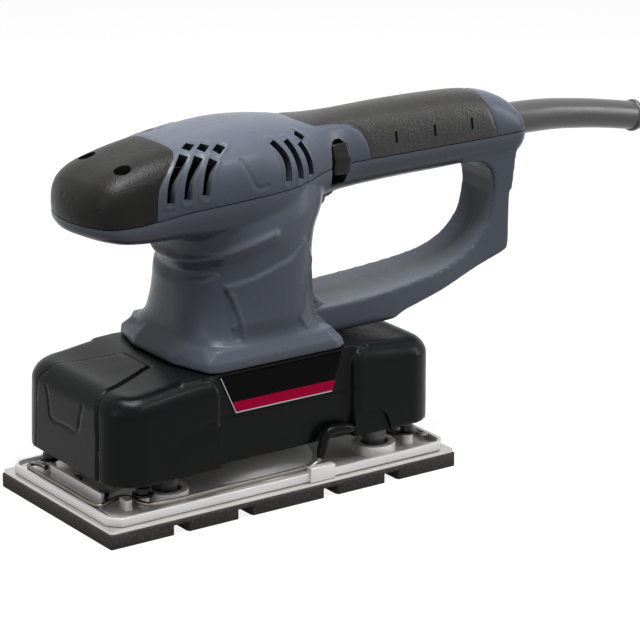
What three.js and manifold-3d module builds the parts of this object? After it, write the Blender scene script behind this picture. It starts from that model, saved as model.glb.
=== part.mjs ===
// Half-sheet orbital sander with a closed D handle.
// Millimetres. +X runs from the nose to the cord, +Y to the far side, +Z up.
// The origin is the centre of the sanding pad's lower face, and the motor turns about the Z axis.

import * as THREE from 'three';
import { mergeVertices } from 'three/addons/utils/BufferGeometryUtils.js';
import Module from 'manifold-3d';

const wasm = await Module();
wasm.setup();

// ---------------------------------------------------------------- driving dimensions

const GAP = 0.3;                 // clearance kept between neighbouring pieces
const PAD_LENGTH = 226;          // foam pad, along X
const PAD_WIDTH = 117;           // foam pad, along Y
const FOAM_THICK = 8;
const PLATE_THICK = 1.7;
const GROOVE_WIDTH = 8;
const GROOVE_PLACES = [-69, -28, 28, 69];
const GROOVE_WEB = 1.3;          // foam left above a groove

const RUNNING = 0.1;             // radial clearance between a shaft and its bearing

const CAST_LENGTH = 220;         // die-cast platen frame
const CAST_WIDTH = 111;
const CAST_FLOOR = 2;
const CAST_RIM_TOP = 15;
const CAST_WALL = 2.2;
const DISH_RADIUS = 46;

const ORBIT = 1.0;               // eccentricity: the pad describes circles of twice this
const SKIRT_BOTTOM = 28.5;
const SKIRT_TOP = 80;
const SKIRT_LENGTH = 210;
const SKIRT_WIDTH = 106;
const SKIRT_WALL = 2.6;
const SKIRT_EDGE = 11;           // rounding of the skirt's long upper edges
const WAIST_FRONT = -38;         // the narrower middle of the skirt
const WAIST_REAR = 48;
const LEVER_ROOM = 4.5;          // the waist's far side is longer, where the rear clamp's lever swings
const WAIST_HALF = 47.3;

const SHELL = 2.8;               // wall of the motor housing
const GRIP_THICK = 2.5;          // rubber over the handle
// Joint between the two housing halves, X and Z: it climbs from the nose and runs level along the grip.
const SEAM = [
  [-130, 165], [-75, 165], [-64, 166], [-43, 169], [-29, 170.2], [-10, 171.8], [20, 172.8], [48, 174],
  [70, 174.4], [320, 174.4],
];

const POSTS = [[-64, -35], [-71, 38], [71, -38], [64, 35]];   // flexible columns under the frame
const POST_RADIUS = 7;
const POST_FOOT = 8.2;
const BASE_SCREWS = [[35, 35], [35, -35], [-35, 35], [-35, -35]];
const NOSE_SCREW_X = -77.5;
const NOSE_SCREW_Y = 18;
const HANDLE_SCREW_X = 180;

const WIRE_RADIUS = 1.4;
const SLEEVE_RADIUS = 2.7;
const PIVOT_X = -86;             // where the clamp wire turns
const CLAMP_SCREWS = [[-80.6, -38], [-94, 38]];

const SHAFT_RADIUS = 6;
const SHAFT_TOP_RADIUS = 5;
const STATOR_RADIUS = 36;
const CORE_RADIUS = 20.3;

// ---------------------------------------------------------------- colours

const look = (color, roughness, metalness = 0) => ({ color, roughness, metalness });
const SLATE = look(0x5a6270, 0.45);
const CHARCOAL = look(0x3c3b3a, 0.75);
const RUBBER = look(0x3f3f3f, 0.85);
const BLACK = look(0x1b1c1e, 0.4);
const BLACK_METAL = look(0x222222, 0.4, 0.6);
const ALUMINIUM = look(0xc9c9c6, 0.4, 0.9);
const STEEL = look(0xa0a0a0, 0.35, 1);
const SPRING_STEEL = look(0x7a7671, 0.4, 1);
const FOAM = look(0x45403f, 0.95);
const CRIMSON = look(0xb3063c, 0.4);
const COPPER = look(0xb06a3a, 0.4, 1);
const CARBON = look(0x2c2c2c, 0.8);
const LAMINATION = look(0x6a6c70, 0.5, 0.8);

// ---------------------------------------------------------------- solids

// Turns a closed geometry into a solid that can be joined and cut.
function solid(geometry) {
  const bare = geometry.clone();
  bare.deleteAttribute('normal');
  bare.deleteAttribute('uv');
  const merged = mergeVertices(bare, 1e-4);
  const triangles = Uint32Array.from(merged.index.array);
  const build = () => new wasm.Manifold(new wasm.Mesh({
    numProp: 3,
    vertProperties: Float32Array.from(merged.attributes.position.array),
    triVerts: triangles,
  }));
  const made = build();
  if (made.volume() > 0) return made;
  for (let i = 0; i < triangles.length; i += 3) {
    [triangles[i], triangles[i + 1]] = [triangles[i + 1], triangles[i]];
  }
  return build();
}

function geometryOf(body) {
  const mesh = body.getMesh();
  const geometry = new THREE.BufferGeometry();
  geometry.setAttribute('position', new THREE.BufferAttribute(mesh.vertProperties, 3));
  geometry.setIndex(new THREE.BufferAttribute(mesh.triVerts, 1));
  geometry.computeVertexNormals();
  return geometry;
}

const join = (...bodies) => bodies.reduce((whole, body) => whole.add(body));
const cut = (body, ...tools) => tools.reduce((rest, tool) => rest.subtract(tool), body);

function box(x0, x1, y0, y1, z0, z1) {
  const geometry = new THREE.BoxGeometry(x1 - x0, y1 - y0, z1 - z0);
  geometry.translate((x0 + x1) / 2, (y0 + y1) / 2, (z0 + z1) / 2);
  return solid(geometry);
}

function rod(radius, z0, z1, x = 0, y = 0, sides = 16) {
  const geometry = new THREE.CylinderGeometry(radius, radius, z1 - z0, sides);
  geometry.rotateX(Math.PI / 2);
  geometry.translate(x, y, (z0 + z1) / 2);
  return solid(geometry);
}

const tube = (outer, inner, z0, z1, x = 0, y = 0, sides = 24) => cut(
  rod(outer, z0, z1, x, y, sides),
  rod(inner, z0 - 1, z1 + 1, x, y, sides),
);

// A turned shape: [radius, height] pairs that start and end on the Z axis.
function turned(profile, sides = 24) {
  const points = profile.map(([radius, height]) => new THREE.Vector2(radius, height));
  const geometry = new THREE.LatheGeometry(points, sides);
  geometry.rotateX(Math.PI / 2);
  return solid(geometry);
}

function outline(points) {
  const shape = new THREE.Shape();
  points.forEach(([x, y], i) => (i ? shape.lineTo(x, y) : shape.moveTo(x, y)));
  return shape;
}

function roundedRectangle(length, width, radius) {
  const x = length / 2 - radius;
  const y = width / 2 - radius;
  const shape = new THREE.Shape();
  shape.absarc(x, y, radius, 0, Math.PI / 2);
  shape.absarc(-x, y, radius, Math.PI / 2, Math.PI);
  shape.absarc(-x, -y, radius, Math.PI, 1.5 * Math.PI);
  shape.absarc(x, -y, radius, 1.5 * Math.PI, 2 * Math.PI);
  return shape;
}

// A plan outline raised from z0 to z1.
function slab(shape, z0, z1, curveSegments = 4) {
  const geometry = new THREE.ExtrudeGeometry(shape, { depth: z1 - z0, bevelEnabled: false, curveSegments });
  geometry.translate(0, 0, z0);
  return solid(geometry);
}

// A side view, drawn in X and Z, made `width` wide across Y with rounded long edges.
function sidewaysGeometry(shape, width, edge = 0, curveSegments = 4) {
  const geometry = new THREE.ExtrudeGeometry(shape, {
    depth: width - 2 * edge,
    bevelEnabled: edge > 0,
    bevelThickness: edge,
    bevelSize: edge,
    bevelOffset: -edge,
    bevelSegments: 2,
    curveSegments,
  });
  geometry.translate(0, 0, edge - width / 2);
  geometry.rotateX(Math.PI / 2);
  return geometry;
}

const sideways = (...form) => solid(sidewaysGeometry(...form));

// A rounded ring shape: `power` 2 is an ellipse, larger is squarer.
function superPoint(angle, power) {
  const along = Math.cos(angle);
  const across = Math.sin(angle);
  return [
    Math.sign(along) * Math.abs(along) ** (2 / power),
    Math.sign(across) * Math.abs(across) ** (2 / power),
  ];
}

// A skin drawn over a row of sections. `place` puts a point of the unit ring of one section.
function loft(sections, sides, place) {
  const rows = sections.length - 1;
  const geometry = new THREE.CylinderGeometry(1, 1, rows, sides, rows);
  const position = geometry.attributes.position;
  for (let i = 0; i < position.count; i += 1) {
    const section = sections[Math.round(rows / 2 - position.getY(i))];
    const reach = Math.round(Math.hypot(position.getX(i), position.getZ(i)));
    const angle = Math.atan2(position.getZ(i), position.getX(i));
    const corner = (Math.round((sides * angle) / (2 * Math.PI)) + sides) % sides;
    const [u, v] = superPoint((2 * Math.PI * corner) / sides, section.power);
    position.setXYZ(i, ...place(section, u * reach, v * reach));
  }
  return solid(geometry);
}

// A round tube that follows a curve.
function alongCurve(curve, radius, steps, sides = 8, bore = 0) {
  const ring = (size) => Array.from({ length: sides }, (_, i) => {
    const angle = (2 * Math.PI * i) / sides;
    return new THREE.Vector2(size * Math.cos(angle), size * Math.sin(angle));
  });
  const shape = new THREE.Shape(ring(radius));
  if (bore > 0) shape.holes.push(new THREE.Path(ring(bore).reverse()));
  return solid(new THREE.ExtrudeGeometry(shape, { steps, extrudePath: curve, bevelEnabled: false }));
}

// A block between two radii and two angles (degrees).
function sector(inner, outer, from, to, z0, z1) {
  const shape = new THREE.Shape();
  const start = THREE.MathUtils.degToRad(from);
  const end = THREE.MathUtils.degToRad(to);
  shape.absarc(0, 0, outer, start, end, false);
  shape.absarc(0, 0, inner, end, start, true);
  return slab(shape, z0, z1, Math.max(2, Math.ceil((to - from) / 20)));
}

// ---------------------------------------------------------------- the assembly

const sander = new THREE.Group();

function add(name, body, { color, roughness, metalness }, parent = sander) {
  const mesh = new THREE.Mesh(
    geometryOf(body),
    new THREE.MeshStandardMaterial({ color, roughness, metalness }),
  );
  mesh.name = name;
  parent.add(mesh);
  return mesh;
}

const cornerName = (x, y) => `${x < 0 ? 'front' : 'rear'}_${y < 0 ? 'near' : 'far'}`;

// ---------------------------------------------------------------- motor housing

function seamHeight(x) {
  const next = SEAM.findIndex(([place]) => place > x);
  const [x0, z0] = SEAM[next - 1];
  const [x1, z1] = SEAM[next];
  return z0 + ((x - x0) / (x1 - x0)) * (z1 - z0);
}

// Head and handle: X, lowest Z, highest Z, half width, squareness, wall.
const HEAD = [
  [-100.2, 160, 174.3, 9, 2.2, SHELL],
  [-99.4, 159.3, 178.4, 13.1, 2.3, SHELL],
  [-97.6, 159, 181.8, 17.9, 2.4, SHELL],
  [-94.5, 157.5, 186, 25, 2.5, SHELL],
  [-90, 155.5, 190.3, 28.6, 2.6, SHELL],
  [-83, 153.6, 194, 30, 2.7, SHELL],
  [-73, 152, 197.3, 30, 2.8, SHELL],
  [-53, 150.6, 201, 33.4, 2.8, SHELL],
  [-29, 147, 203.6, 39.2, 2.8, SHELL],
  [-10, 145.5, 205, 41.6, 2.8, SHELL],
  [5, 145, 205.4, 41, 2.8, SHELL],
  [20, 147, 204.6, 38, 2.6, SHELL],
  [35, 150, 202.8, 31.5, 2.5, SHELL],
  [48, 154, 201.6, 24.5, 2.4, SHELL + GRIP_THICK],
  [58, 157, 201.3, 20.5, 2.4, SHELL + GRIP_THICK],
  [70, 159.5, 201.3, 18.3, 2.4, SHELL + GRIP_THICK],
  [100, 159.8, 202, 18, 2.4, SHELL + GRIP_THICK],
  [140, 159.5, 201.4, 18, 2.4, SHELL + GRIP_THICK],
  [165, 160, 199.3, 18, 2.4, SHELL + GRIP_THICK],
  [180, 158.5, 196.3, 17.8, 2.4, SHELL + GRIP_THICK],
  [190, 157.5, 192.5, 17.2, 2.4, SHELL],
  [198, 159, 186.5, 15.8, 2.4, SHELL],
  [203, 164, 181, 12, 2.4, SHELL],
].map(([x, low, high, half, power, wall]) => ({
  x,
  half,
  power,
  wall,
  seam: seamHeight(x),
  up: high - seamHeight(x),
  down: seamHeight(x) - low,
}));

function insetHead(section, depth) {
  return {
    ...section,
    x: section.x + (section.x < 0 ? depth : -depth),
    half: Math.max(section.half - depth, 2),
    up: Math.max(section.up - depth, 2),
    down: Math.max(section.down - depth, 2),
  };
}

const headLoft = (sections, sides) => loft(sections, sides, (section, u, v) => [
  section.x,
  section.half * u,
  section.seam + v * (v > 0 ? section.up : section.down),
]);

// Neck: Z, centre X, half length, half width, squareness.
const NECK = [
  [80.8, -0.5, 49, 48.6, 6],
  [85, -0.5, 47.6, 48, 6],
  [92, -0.5, 41.5, 44.6, 5],
  [96, 0, 41.3, 43.4, 3.4],
  [103, 1, 42, 42.8, 2.6],
  [114, 2, 43, 42.8, 2.3],
  [132, 3, 43, 42.8, 2.2],
  [146, 3, 44.3, 42.6, 2.2],
  [156, 4, 47.5, 41.5, 2.3],
  [164, 4, 49, 39.5, 2.4],
  [172, 3, 47, 38, 2.5],
].map(([z, cx, rx, ry, power]) => ({ z, cx, rx, ry, power }));

const neckLoft = (sections, sides) => loft(sections, sides, (section, u, v) => [
  section.cx + section.rx * u,
  section.ry * v,
  section.z,
]);

// The lower limb of the D handle is broadest beside the neck and narrows to the rear limb.
const LIMB_WIDTH = 34;
const LIMB_BROADER = 0.45;

function limbBreadth(x, z) {
  const ahead = 1 - THREE.MathUtils.smoothstep(x, 95, 155);
  const low = 1 - THREE.MathUtils.smoothstep(z, 112, 135);
  return 1 + LIMB_BROADER * ahead * low;
}

// The two lower limbs of the D handle, with the hand opening between them and the grip.
function handleLoop() {
  const shape = new THREE.Shape();
  shape.moveTo(20, 81);
  shape.lineTo(108, 81);
  shape.lineTo(155, 98);
  shape.lineTo(178, 105);
  shape.quadraticCurveTo(184.3, 107.5, 184.5, 115);
  shape.lineTo(185.5, 148);
  shape.lineTo(189, 159);
  shape.lineTo(196, 168);
  shape.lineTo(20, 168);
  const limbs = sidewaysGeometry(shape, LIMB_WIDTH, 4);
  const points = limbs.attributes.position;
  for (let i = 0; i < points.count; i += 1) {
    points.setY(i, points.getY(i) * limbBreadth(points.getX(i), points.getZ(i)));
  }
  const opening = new THREE.Shape();
  opening.moveTo(56, 96.5);
  opening.lineTo(91, 98.2);
  opening.lineTo(126, 102);
  opening.quadraticCurveTo(150, 107, 161, 116.5);
  opening.quadraticCurveTo(169.5, 124, 170.8, 139);
  opening.lineTo(171.5, 148);
  opening.quadraticCurveTo(171, 160.3, 160, 160.3);
  opening.lineTo(70, 160.3);
  opening.quadraticCurveTo(50, 160, 50, 146);
  opening.lineTo(46.5, 107);
  opening.quadraticCurveTo(46, 96.5, 56, 96.5);
  return cut(solid(limbs), sideways(opening, 60));
}

// Everything above (side +1) or below (side -1) the housing joint.
function halfSpace(side) {
  const edge = side * GAP / 2;
  const far = 174 + side * 110;
  return sideways(outline([
    ...SEAM.map(([x, z]) => [x, z + edge]),
    [320, far],
    [-130, far],
  ]), 200);
}

const headOuter = headLoft(HEAD, 24);
const headInner = headLoft(HEAD.map((section) => insetHead(section, section.wall)), 12);
const neckOuter = neckLoft(NECK, 24);
const neckInner = neckLoft(
  NECK.map((section, i) => ({
    z: section.z + (i === 0 ? -2 : 0),
    cx: THREE.MathUtils.clamp(section.cx, 0, 2),
    rx: Math.min(section.rx, 43) - SHELL,
    ry: Math.min(section.ry, 42.8) - SHELL,
    power: 2.1,
  })),
  16,
);

// The cord relief runs out of the end of the handle and droops a little.
const BOOT_LINE = [[190, 177.8], [204, 177.5], [223, 176.5], [243, 174.1], [260, 171.5], [287, 166.4]];
const BOOT_SIZES = [9.5, 9.5, 9.1, 8.8, 8.6, 8.5];
const BOOT_BORE = 3.8;

function bootBody(sizes) {
  const sections = BOOT_LINE.map(([x, z], i) => ({ x, z, size: sizes[i], power: 2 }));
  const first = sections[0];
  const last = sections[sections.length - 1];
  const ends = [{ ...first, x: first.x - 4 }, ...sections, { ...last, x: last.x + 0.2, z: last.z }];
  return loft(ends, 10, (section, u, v) => [section.x, section.size * u, section.z + section.size * v]);
}

const bootHole = bootBody(BOOT_SIZES.map((size) => size + GAP));

const SLOT = { x0: 54.5, x1: 67.5, z0: 165.3, z1: 189.6, depth: -9 };
const switchSlot = box(SLOT.x0, SLOT.x1, -40, SLOT.depth, SLOT.z0, SLOT.z1);

const screwBoss = (radius, x, y, z0, z1) => rod(radius, z0, z1, x, y, 8);

function lowerHousing() {
  const tailPost = screwBoss(5.5, HANDLE_SCREW_X, 0, 162, 174);
  const shell = cut(join(headOuter, neckOuter, handleLoop()), headInner, neckInner);
  const below = join(shell, ...noseBosses(5.5, 152, 165), tailPost).intersect(halfSpace(-1));
  const pilots = [-1, 1].map((side) => rod(1.9, 156, 200, NOSE_SCREW_X, side * NOSE_SCREW_Y, 8));
  const basePilots = BASE_SCREWS.map(([x, y]) => rod(2.3, 78, 91, x, y, 8));
  const tailPilot = rod(1.9, 165, 200, HANDLE_SCREW_X, 0, 8);
  return cut(below, ...pilots, tailPilot, ...basePilots, bootHole, switchSlot);
}

// The region of the nose cap: ahead of a line that leans back towards the top.
const capRegion = (shift) => sideways(outline([
  [-140, 150], [-66 - shift, 150], [-65 - shift, 183], [-60 - shift, 188.5], [-47 - shift, 198],
  [-46 - shift, 215], [-140, 215],
]), 200);

// The region of the rubber grip: behind a line that falls from the top to the housing joint.
const gripRegion = (shift) => sideways(outline([
  [32 - shift, 215], [34 - shift, 199], [66 - shift, 190], [84 - shift, 180], [90 - shift, 150],
  [173 + shift, 150], [176 + shift, 176], [173 + shift, 190], [166 + shift, 215],
]), 200);

const headAbove = headOuter.intersect(halfSpace(1));

// What is left under the grip, for a rubber of this thickness.
function gripCore(thickness) {
  return headLoft(HEAD.map((section) => ({ ...insetHead(section, thickness), x: section.x })), 24);
}

// Cooling slots: X of the slot at the housing side, how far it leans back as it climbs, lowest Z.
const VENTS = [
  { x: -55, lean: 18, low: 173 },
  { x: -45, lean: 14, low: 175 },
  { x: -35, lean: 11, low: 177 },
  { x: 14, lean: -8, low: 179 },
  { x: 24, lean: -9, low: 179 },
];
const VENT_WIDTH = 4.6;
const VENT_TOP = 201;
const VENT_INNER_Y = 22;

function ventCutters() {
  return VENTS.flatMap(({ x, lean, low }) => {
    const half = VENT_WIDTH / 2;
    const shape = outline([
      [x - half, low], [x + half, low], [x + half, 192],
      [x + lean + half, VENT_TOP], [x + lean - half, VENT_TOP], [x - half, 192],
    ]);
    return [-1, 1].map((side) => sideways(shape, 30).translate(0, side * (VENT_INNER_Y + 15), 0));
  });
}

const noseBosses = (radius, low, high) => [-1, 1].map(
  (side) => screwBoss(radius, NOSE_SCREW_X, side * NOSE_SCREW_Y, low, high),
);

function upperHousing() {
  const tailBoss = screwBoss(5.5, HANDLE_SCREW_X, 0, 174.7, 194);
  const whole = join(cut(headAbove, headInner, neckInner), tailBoss);
  const tailHole = join(rod(4, 185, 210, HANDLE_SCREW_X, 0, 20), rod(1.9, 170, 210, HANDLE_SCREW_X, 0, 8));
  return cut(
    whole,
    capRegion(-GAP),
    ...noseBosses(6.5 + GAP, 155, 200),
    cut(gripRegion(GAP), gripCore(GRIP_THICK + GAP)),
    switchSlot,
    bootHole,
    tailHole,
    ...ventCutters(),
  );
}

function noseCap() {
  const shell = cut(headAbove.intersect(capRegion(0)), headInner);
  const sides = [-1, 1].map((side) => side * NOSE_SCREW_Y);
  const holes = sides.map((y) => rod(4.7, 183, 205, NOSE_SCREW_X, y, 20));
  const pilots = sides.map((y) => rod(1.9, 165, 205, NOSE_SCREW_X, y, 8));
  const trimmed = join(shell, ...noseBosses(6.5, 165.5, 190).map((boss) => boss.intersect(headAbove)));
  return cut(trimmed, ...holes, ...pilots);
}

function cordBoot() {
  const lip = new THREE.Vector3(285, 0, 166.8);
  const rim = rod(9.5, -1.6, 1.6, 0, 0, 12).rotate(0, 80, 0).translate(lip.x, lip.y, lip.z);
  const collar = rod(10.6, 0, 2.6, 0, 0, 12).rotate(0, 90, 0).translate(186.2, 0, 177);
  const bore = bootBody(BOOT_SIZES.map(() => BOOT_BORE));
  const ends = [rod(BOOT_BORE, -12, 12, 0, 0, 10).rotate(0, 80, 0).translate(288, 0, 166.2),
    rod(BOOT_BORE, -9, 9, 0, 0, 10).rotate(0, 90, 0).translate(190, 0, 177.8)];
  return cut(join(bootBody(BOOT_SIZES), rim, collar), bore, ...ends);
}

add('lower_housing', lowerHousing(), SLATE);
add('upper_housing', upperHousing(), SLATE);
add('nose_cap', noseCap(), CHARCOAL);
add('handle_grip', cut(headAbove.intersect(gripRegion(0)), gripCore(GRIP_THICK)), RUBBER);
add('cord_boot', cordBoot(), BLACK);

// ---------------------------------------------------------------- skirt cover

// Side view of the skirt, drawn past its open bottom. `inset` gives the inner face.
function skirtProfile(inset) {
  const end = SKIRT_LENGTH / 2 - inset;
  const top = SKIRT_TOP - inset;
  const shape = new THREE.Shape();
  shape.moveTo(-end, 0);
  shape.lineTo(-end, 62);
  shape.quadraticCurveTo(-end, top - 5, -end + 13, top - 3.5);
  shape.lineTo(-50, top);
  shape.lineTo(50, top);
  shape.lineTo(end - 13, top - 3.5);
  shape.quadraticCurveTo(end, top - 5, end, 62);
  shape.lineTo(end, 0);
  return shape;
}

function skirtCover() {
  const waists = (inset) => [
    box(WAIST_FRONT - inset, WAIST_REAR + inset, -80, inset - WAIST_HALF, 0, 100),
    box(-WAIST_REAR - LEVER_ROOM - inset, inset - WAIST_FRONT, WAIST_HALF - inset, 80, 0, 100),
  ];
  const outer = cut(sideways(skirtProfile(0), SKIRT_WIDTH, SKIRT_EDGE), ...waists(0));
  const inner = cut(
    sideways(skirtProfile(SKIRT_WALL), SKIRT_WIDTH - 2 * SKIRT_WALL, SKIRT_EDGE - 1.5),
    ...waists(SKIRT_WALL),
  );
  const holes = BASE_SCREWS.map(([x, y]) => rod(2.5, 60, 90, x, y, 8));
  return cut(outer, inner, box(-150, 150, -80, 80, -5, SKIRT_BOTTOM), rod(39, 60, 90, 0, 0, 24), ...holes);
}

// A bare plate that narrows downwards, lying on the waist of the skirt.
function nameplate(turn) {
  const shape = outline([[-37, 78], [44, 78], [37.5, 57], [-28, 57]]);
  return sideways(shape, 0.8).translate(0, -WAIST_HALF - GAP - 0.4, 0).rotate(0, 0, turn);
}

add('skirt_cover', skirtCover(), BLACK);
add('nameplate_near', nameplate(0), CRIMSON);
add('nameplate_far', nameplate(180), CRIMSON);

// ---------------------------------------------------------------- base frame and columns

const FRAME_LOW = 60;
const FRAME_HIGH = 66;
const HUB_LOW = 51;
const LOWER_BEARING = { outer: 16, low: 51.4, high: 61.4 };

function baseFrame() {
  const plate = slab(roundedRectangle(160, 86, 12), FRAME_LOW, FRAME_HIGH);
  const reach = SKIRT_TOP - SKIRT_WALL - GAP;
  const columns = BASE_SCREWS.map(([x, y]) => rod(5, FRAME_HIGH - 1, reach, x, y, 10));
  const hub = rod(20, HUB_LOW, FRAME_HIGH, 0, 0, 24);
  const pocket = rod(LOWER_BEARING.outer + RUNNING, HUB_LOW - 1, LOWER_BEARING.high + GAP, 0, 0, 20);
  const bore = rod(8, 40, 80);
  const holes = BASE_SCREWS.map(([x, y]) => rod(2.5, 50, 90, x, y, 8));
  return cut(join(plate, hub, ...columns), pocket, bore, ...holes);
}

const bearingRing = ({ outer, low, high }, shaft, x = 0) => (
  tube(outer, shaft + RUNNING, low, high, x, 0, 20)
);

add('base_frame', baseFrame(), ALUMINIUM);
add('lower_bearing', bearingRing(LOWER_BEARING, SHAFT_RADIUS), STEEL);

for (const [x, y] of BASE_SCREWS) {
  const head = rod(4, 56.6, FRAME_LOW - GAP, x, y, 10);
  const shank = rod(2, FRAME_LOW - 1, 89, x, y, 8);
  add(`base_screw_${cornerName(x, y)}`, join(head, shank), BLACK_METAL);
}

const SEAT_FLOOR = 14;           // the columns stand in round seats of the casting

function supportColumn(low, high) {
  return turned([
    [0, low], [POST_FOOT, low], [POST_FOOT, low + 3.5], [POST_RADIUS, low + 5],
    [POST_RADIUS, high - 5], [POST_FOOT, high - 3.5], [POST_FOOT, high], [0, high],
  ], 12);
}

for (const [x, y] of POSTS) {
  const column = supportColumn(SEAT_FLOOR + GAP, FRAME_LOW - GAP);
  add(`support_column_${cornerName(x, y)}`, column, RUBBER).position.set(x, y, 0);
}

// ---------------------------------------------------------------- motor, still parts

const STATOR_LOW = 104;
const STATOR_HIGH = 148;

function statorCore() {
  const yoke = tube(STATOR_RADIUS, 30, STATOR_LOW, STATOR_HIGH, 0, 0, 24);
  const poles = [0, 180].map((turn) => sector(21.2, 31, turn - 38, turn + 38, STATOR_LOW, STATOR_HIGH));
  return join(yoke, ...poles);
}

// A coil lies round one pole: two legs in the gaps and an arc over each end.
function fieldCoil(turn) {
  const legs = [-1, 1].map((side) => {
    const angles = [turn + side * 41, turn + side * 60].sort((a, b) => a - b);
    return sector(22.5, 29.5, angles[0], angles[1], STATOR_LOW - 5, STATOR_HIGH + 5);
  });
  const arcs = [STATOR_LOW - 6, STATOR_HIGH + 0.6].map(
    (low) => sector(22.5, 29.5, turn - 60, turn + 60, low, low + 5.4),
  );
  return join(...legs, ...arcs);
}

const COMMUTATOR = { radius: 12.5, low: 157, high: 168 };
const BRUSH_LOW = 158;
const BRUSH_HIGH = 166;

function alongBrush(side, x0, x1, halfY, z0, z1) {
  return side > 0 ? box(x0, x1, -halfY, halfY, z0, z1) : box(-x1, -x0, -halfY, halfY, z0, z1);
}

const brushHolder = (side) => cut(
  alongBrush(side, 15, 36, 5, BRUSH_LOW - 2, BRUSH_HIGH + 2),
  alongBrush(side, 14, 33, 3.4, BRUSH_LOW - 0.4, BRUSH_HIGH + 0.4),
);

const UPPER_BEARING = { outer: 13, low: 173, high: 181 };

function upperBracket() {
  const bar = box(-8, 8, -35, 35, 170.5, 176);
  const cup = rod(17, 170.5, 183.5, 0, 0, 20);
  const pocket = rod(UPPER_BEARING.outer + RUNNING, UPPER_BEARING.low - GAP, 190, 0, 0, 20);
  return cut(join(bar, cup), pocket, rod(9, 160, 190));
}

add('stator_core', statorCore(), LAMINATION);
add('field_coil_front', fieldCoil(180), COPPER);
add('field_coil_rear', fieldCoil(0), COPPER);
for (const [name, side] of [['front', -1], ['rear', 1]]) {
  add(`brush_holder_${name}`, brushHolder(side), BLACK);
  const brush = alongBrush(side, COMMUTATOR.radius + 0.4, 26, 3.1, BRUSH_LOW, BRUSH_HIGH);
  add(`carbon_brush_${name}`, brush, CARBON);
}
add('upper_bearing_bracket', upperBracket(), BLACK);
add('upper_bearing', bearingRing(UPPER_BEARING, SHAFT_TOP_RADIUS), STEEL);

// ---------------------------------------------------------------- handle, inner pieces

add('switch_body', box(51, 73, -8.3, 8, 169, 188), BLACK);
add('capacitor', box(96, 122, -7, 7, 167.5, 182), CARBON);
const clampHoles = [-6.5, 6.5].map((y) => rod(1.6, 170, 190, 166, y, 8));
add('cord_clamp', cut(box(160, 172, -9, 9, 178.3, 181.8), ...clampHoles), BLACK);

const noseScrew = (side) => join(
  rod(3.4, 183 + GAP, 186, NOSE_SCREW_X, side * NOSE_SCREW_Y, 16),
  rod(1.6, 160, 184, NOSE_SCREW_X, side * NOSE_SCREW_Y, 12),
);
const handleScrew = () => join(
  rod(3.4, 185 + GAP, 188, HANDLE_SCREW_X, 0, 16),
  rod(1.6, 167, 186, HANDLE_SCREW_X, 0, 12),
);
add('nose_screw_near', noseScrew(-1), BLACK_METAL);
add('nose_screw_far', noseScrew(1), BLACK_METAL);
add('handle_screw', handleScrew(), BLACK_METAL);

// ---------------------------------------------------------------- switch rocker

const ROCKER_PIVOT = { x: 61, y: -13.5, z: 177.4 };
const ROCKER_HALF_SWING = THREE.MathUtils.degToRad(8);

// Two flats that meet in a ridge, so that either end can be pressed in.
function switchRocker() {
  const shape = outline([[2, -4], [-6.7, -9.5], [-9.5, 0], [-6.7, 9.5], [2, 4]]);
  const geometry = new THREE.ExtrudeGeometry(shape, { depth: 11.4, bevelEnabled: false });
  geometry.translate(0, 0, -5.7);
  geometry.rotateX(Math.PI / 2);
  geometry.rotateZ(Math.PI / 2);
  return solid(geometry);
}

const rocker = new THREE.Group();
rocker.position.set(ROCKER_PIVOT.x, ROCKER_PIVOT.y, ROCKER_PIVOT.z);
rocker.rotation.x = -ROCKER_HALF_SWING;
sander.add(rocker);
add('switch_rocker', switchRocker(), BLACK, rocker);

// ---------------------------------------------------------------- armature

const FAN = { low: 82, top: 94, radius: 35.5 };
const SHAFT_LOW = 37;

function armatureShaft() {
  return turned([
    [0, SHAFT_LOW], [SHAFT_RADIUS, SHAFT_LOW], [SHAFT_RADIUS, 97],
    [SHAFT_TOP_RADIUS, 98], [SHAFT_TOP_RADIUS, 182], [0, 182],
  ], 16);
}

function armatureCore() {
  const slots = 12;
  const ring = rod(CORE_RADIUS, 106, 146, 0, 0, 24);
  const grooves = Array.from({ length: slots }, (_, i) => {
    const groove = box(16, 22, -1.1, 1.1, 100, 150);
    return groove.rotate(0, 0, (360 * i) / slots);
  });
  return cut(ring, ...grooves, rod(SHAFT_TOP_RADIUS + 0.2, 100, 150));
}

const windingHead = (low, high) => cut(
  turned([[0, low], [14, low], [18, low + 2.5], [18, high - 2.5], [14, high], [0, high]], 16),
  rod(SHAFT_TOP_RADIUS + 0.4, low - 1, high + 1),
);

function commutator() {
  const bars = 12;
  const ring = tube(COMMUTATOR.radius, SHAFT_TOP_RADIUS + 0.2, COMMUTATOR.low, COMMUTATOR.high, 0, 0, 24);
  const grooves = Array.from({ length: bars }, (_, i) => (
    box(11.4, 14, -0.35, 0.35, 150, 170).rotate(0, 0, (360 * i) / bars)
  ));
  return cut(ring, ...grooves);
}

function coolingFan() {
  const blades = Array.from({ length: 8 }, (_, i) => (
    box(14, FAN.radius, -0.9, 0.9, FAN.low + 1, FAN.top - 1.5).rotate(0, 0, 45 * i)
  ));
  const disc = rod(FAN.radius, FAN.low, FAN.low + 2, 0, 0, 24);
  const hub = rod(12, FAN.low, FAN.top, 0, 0, 24);
  return cut(join(disc, hub, ...blades), rod(SHAFT_RADIUS + 0.2, 70, 100));
}

const BALANCE = { low: 34.5, high: 49.5 };
const PIN_RADIUS = 7;

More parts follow.
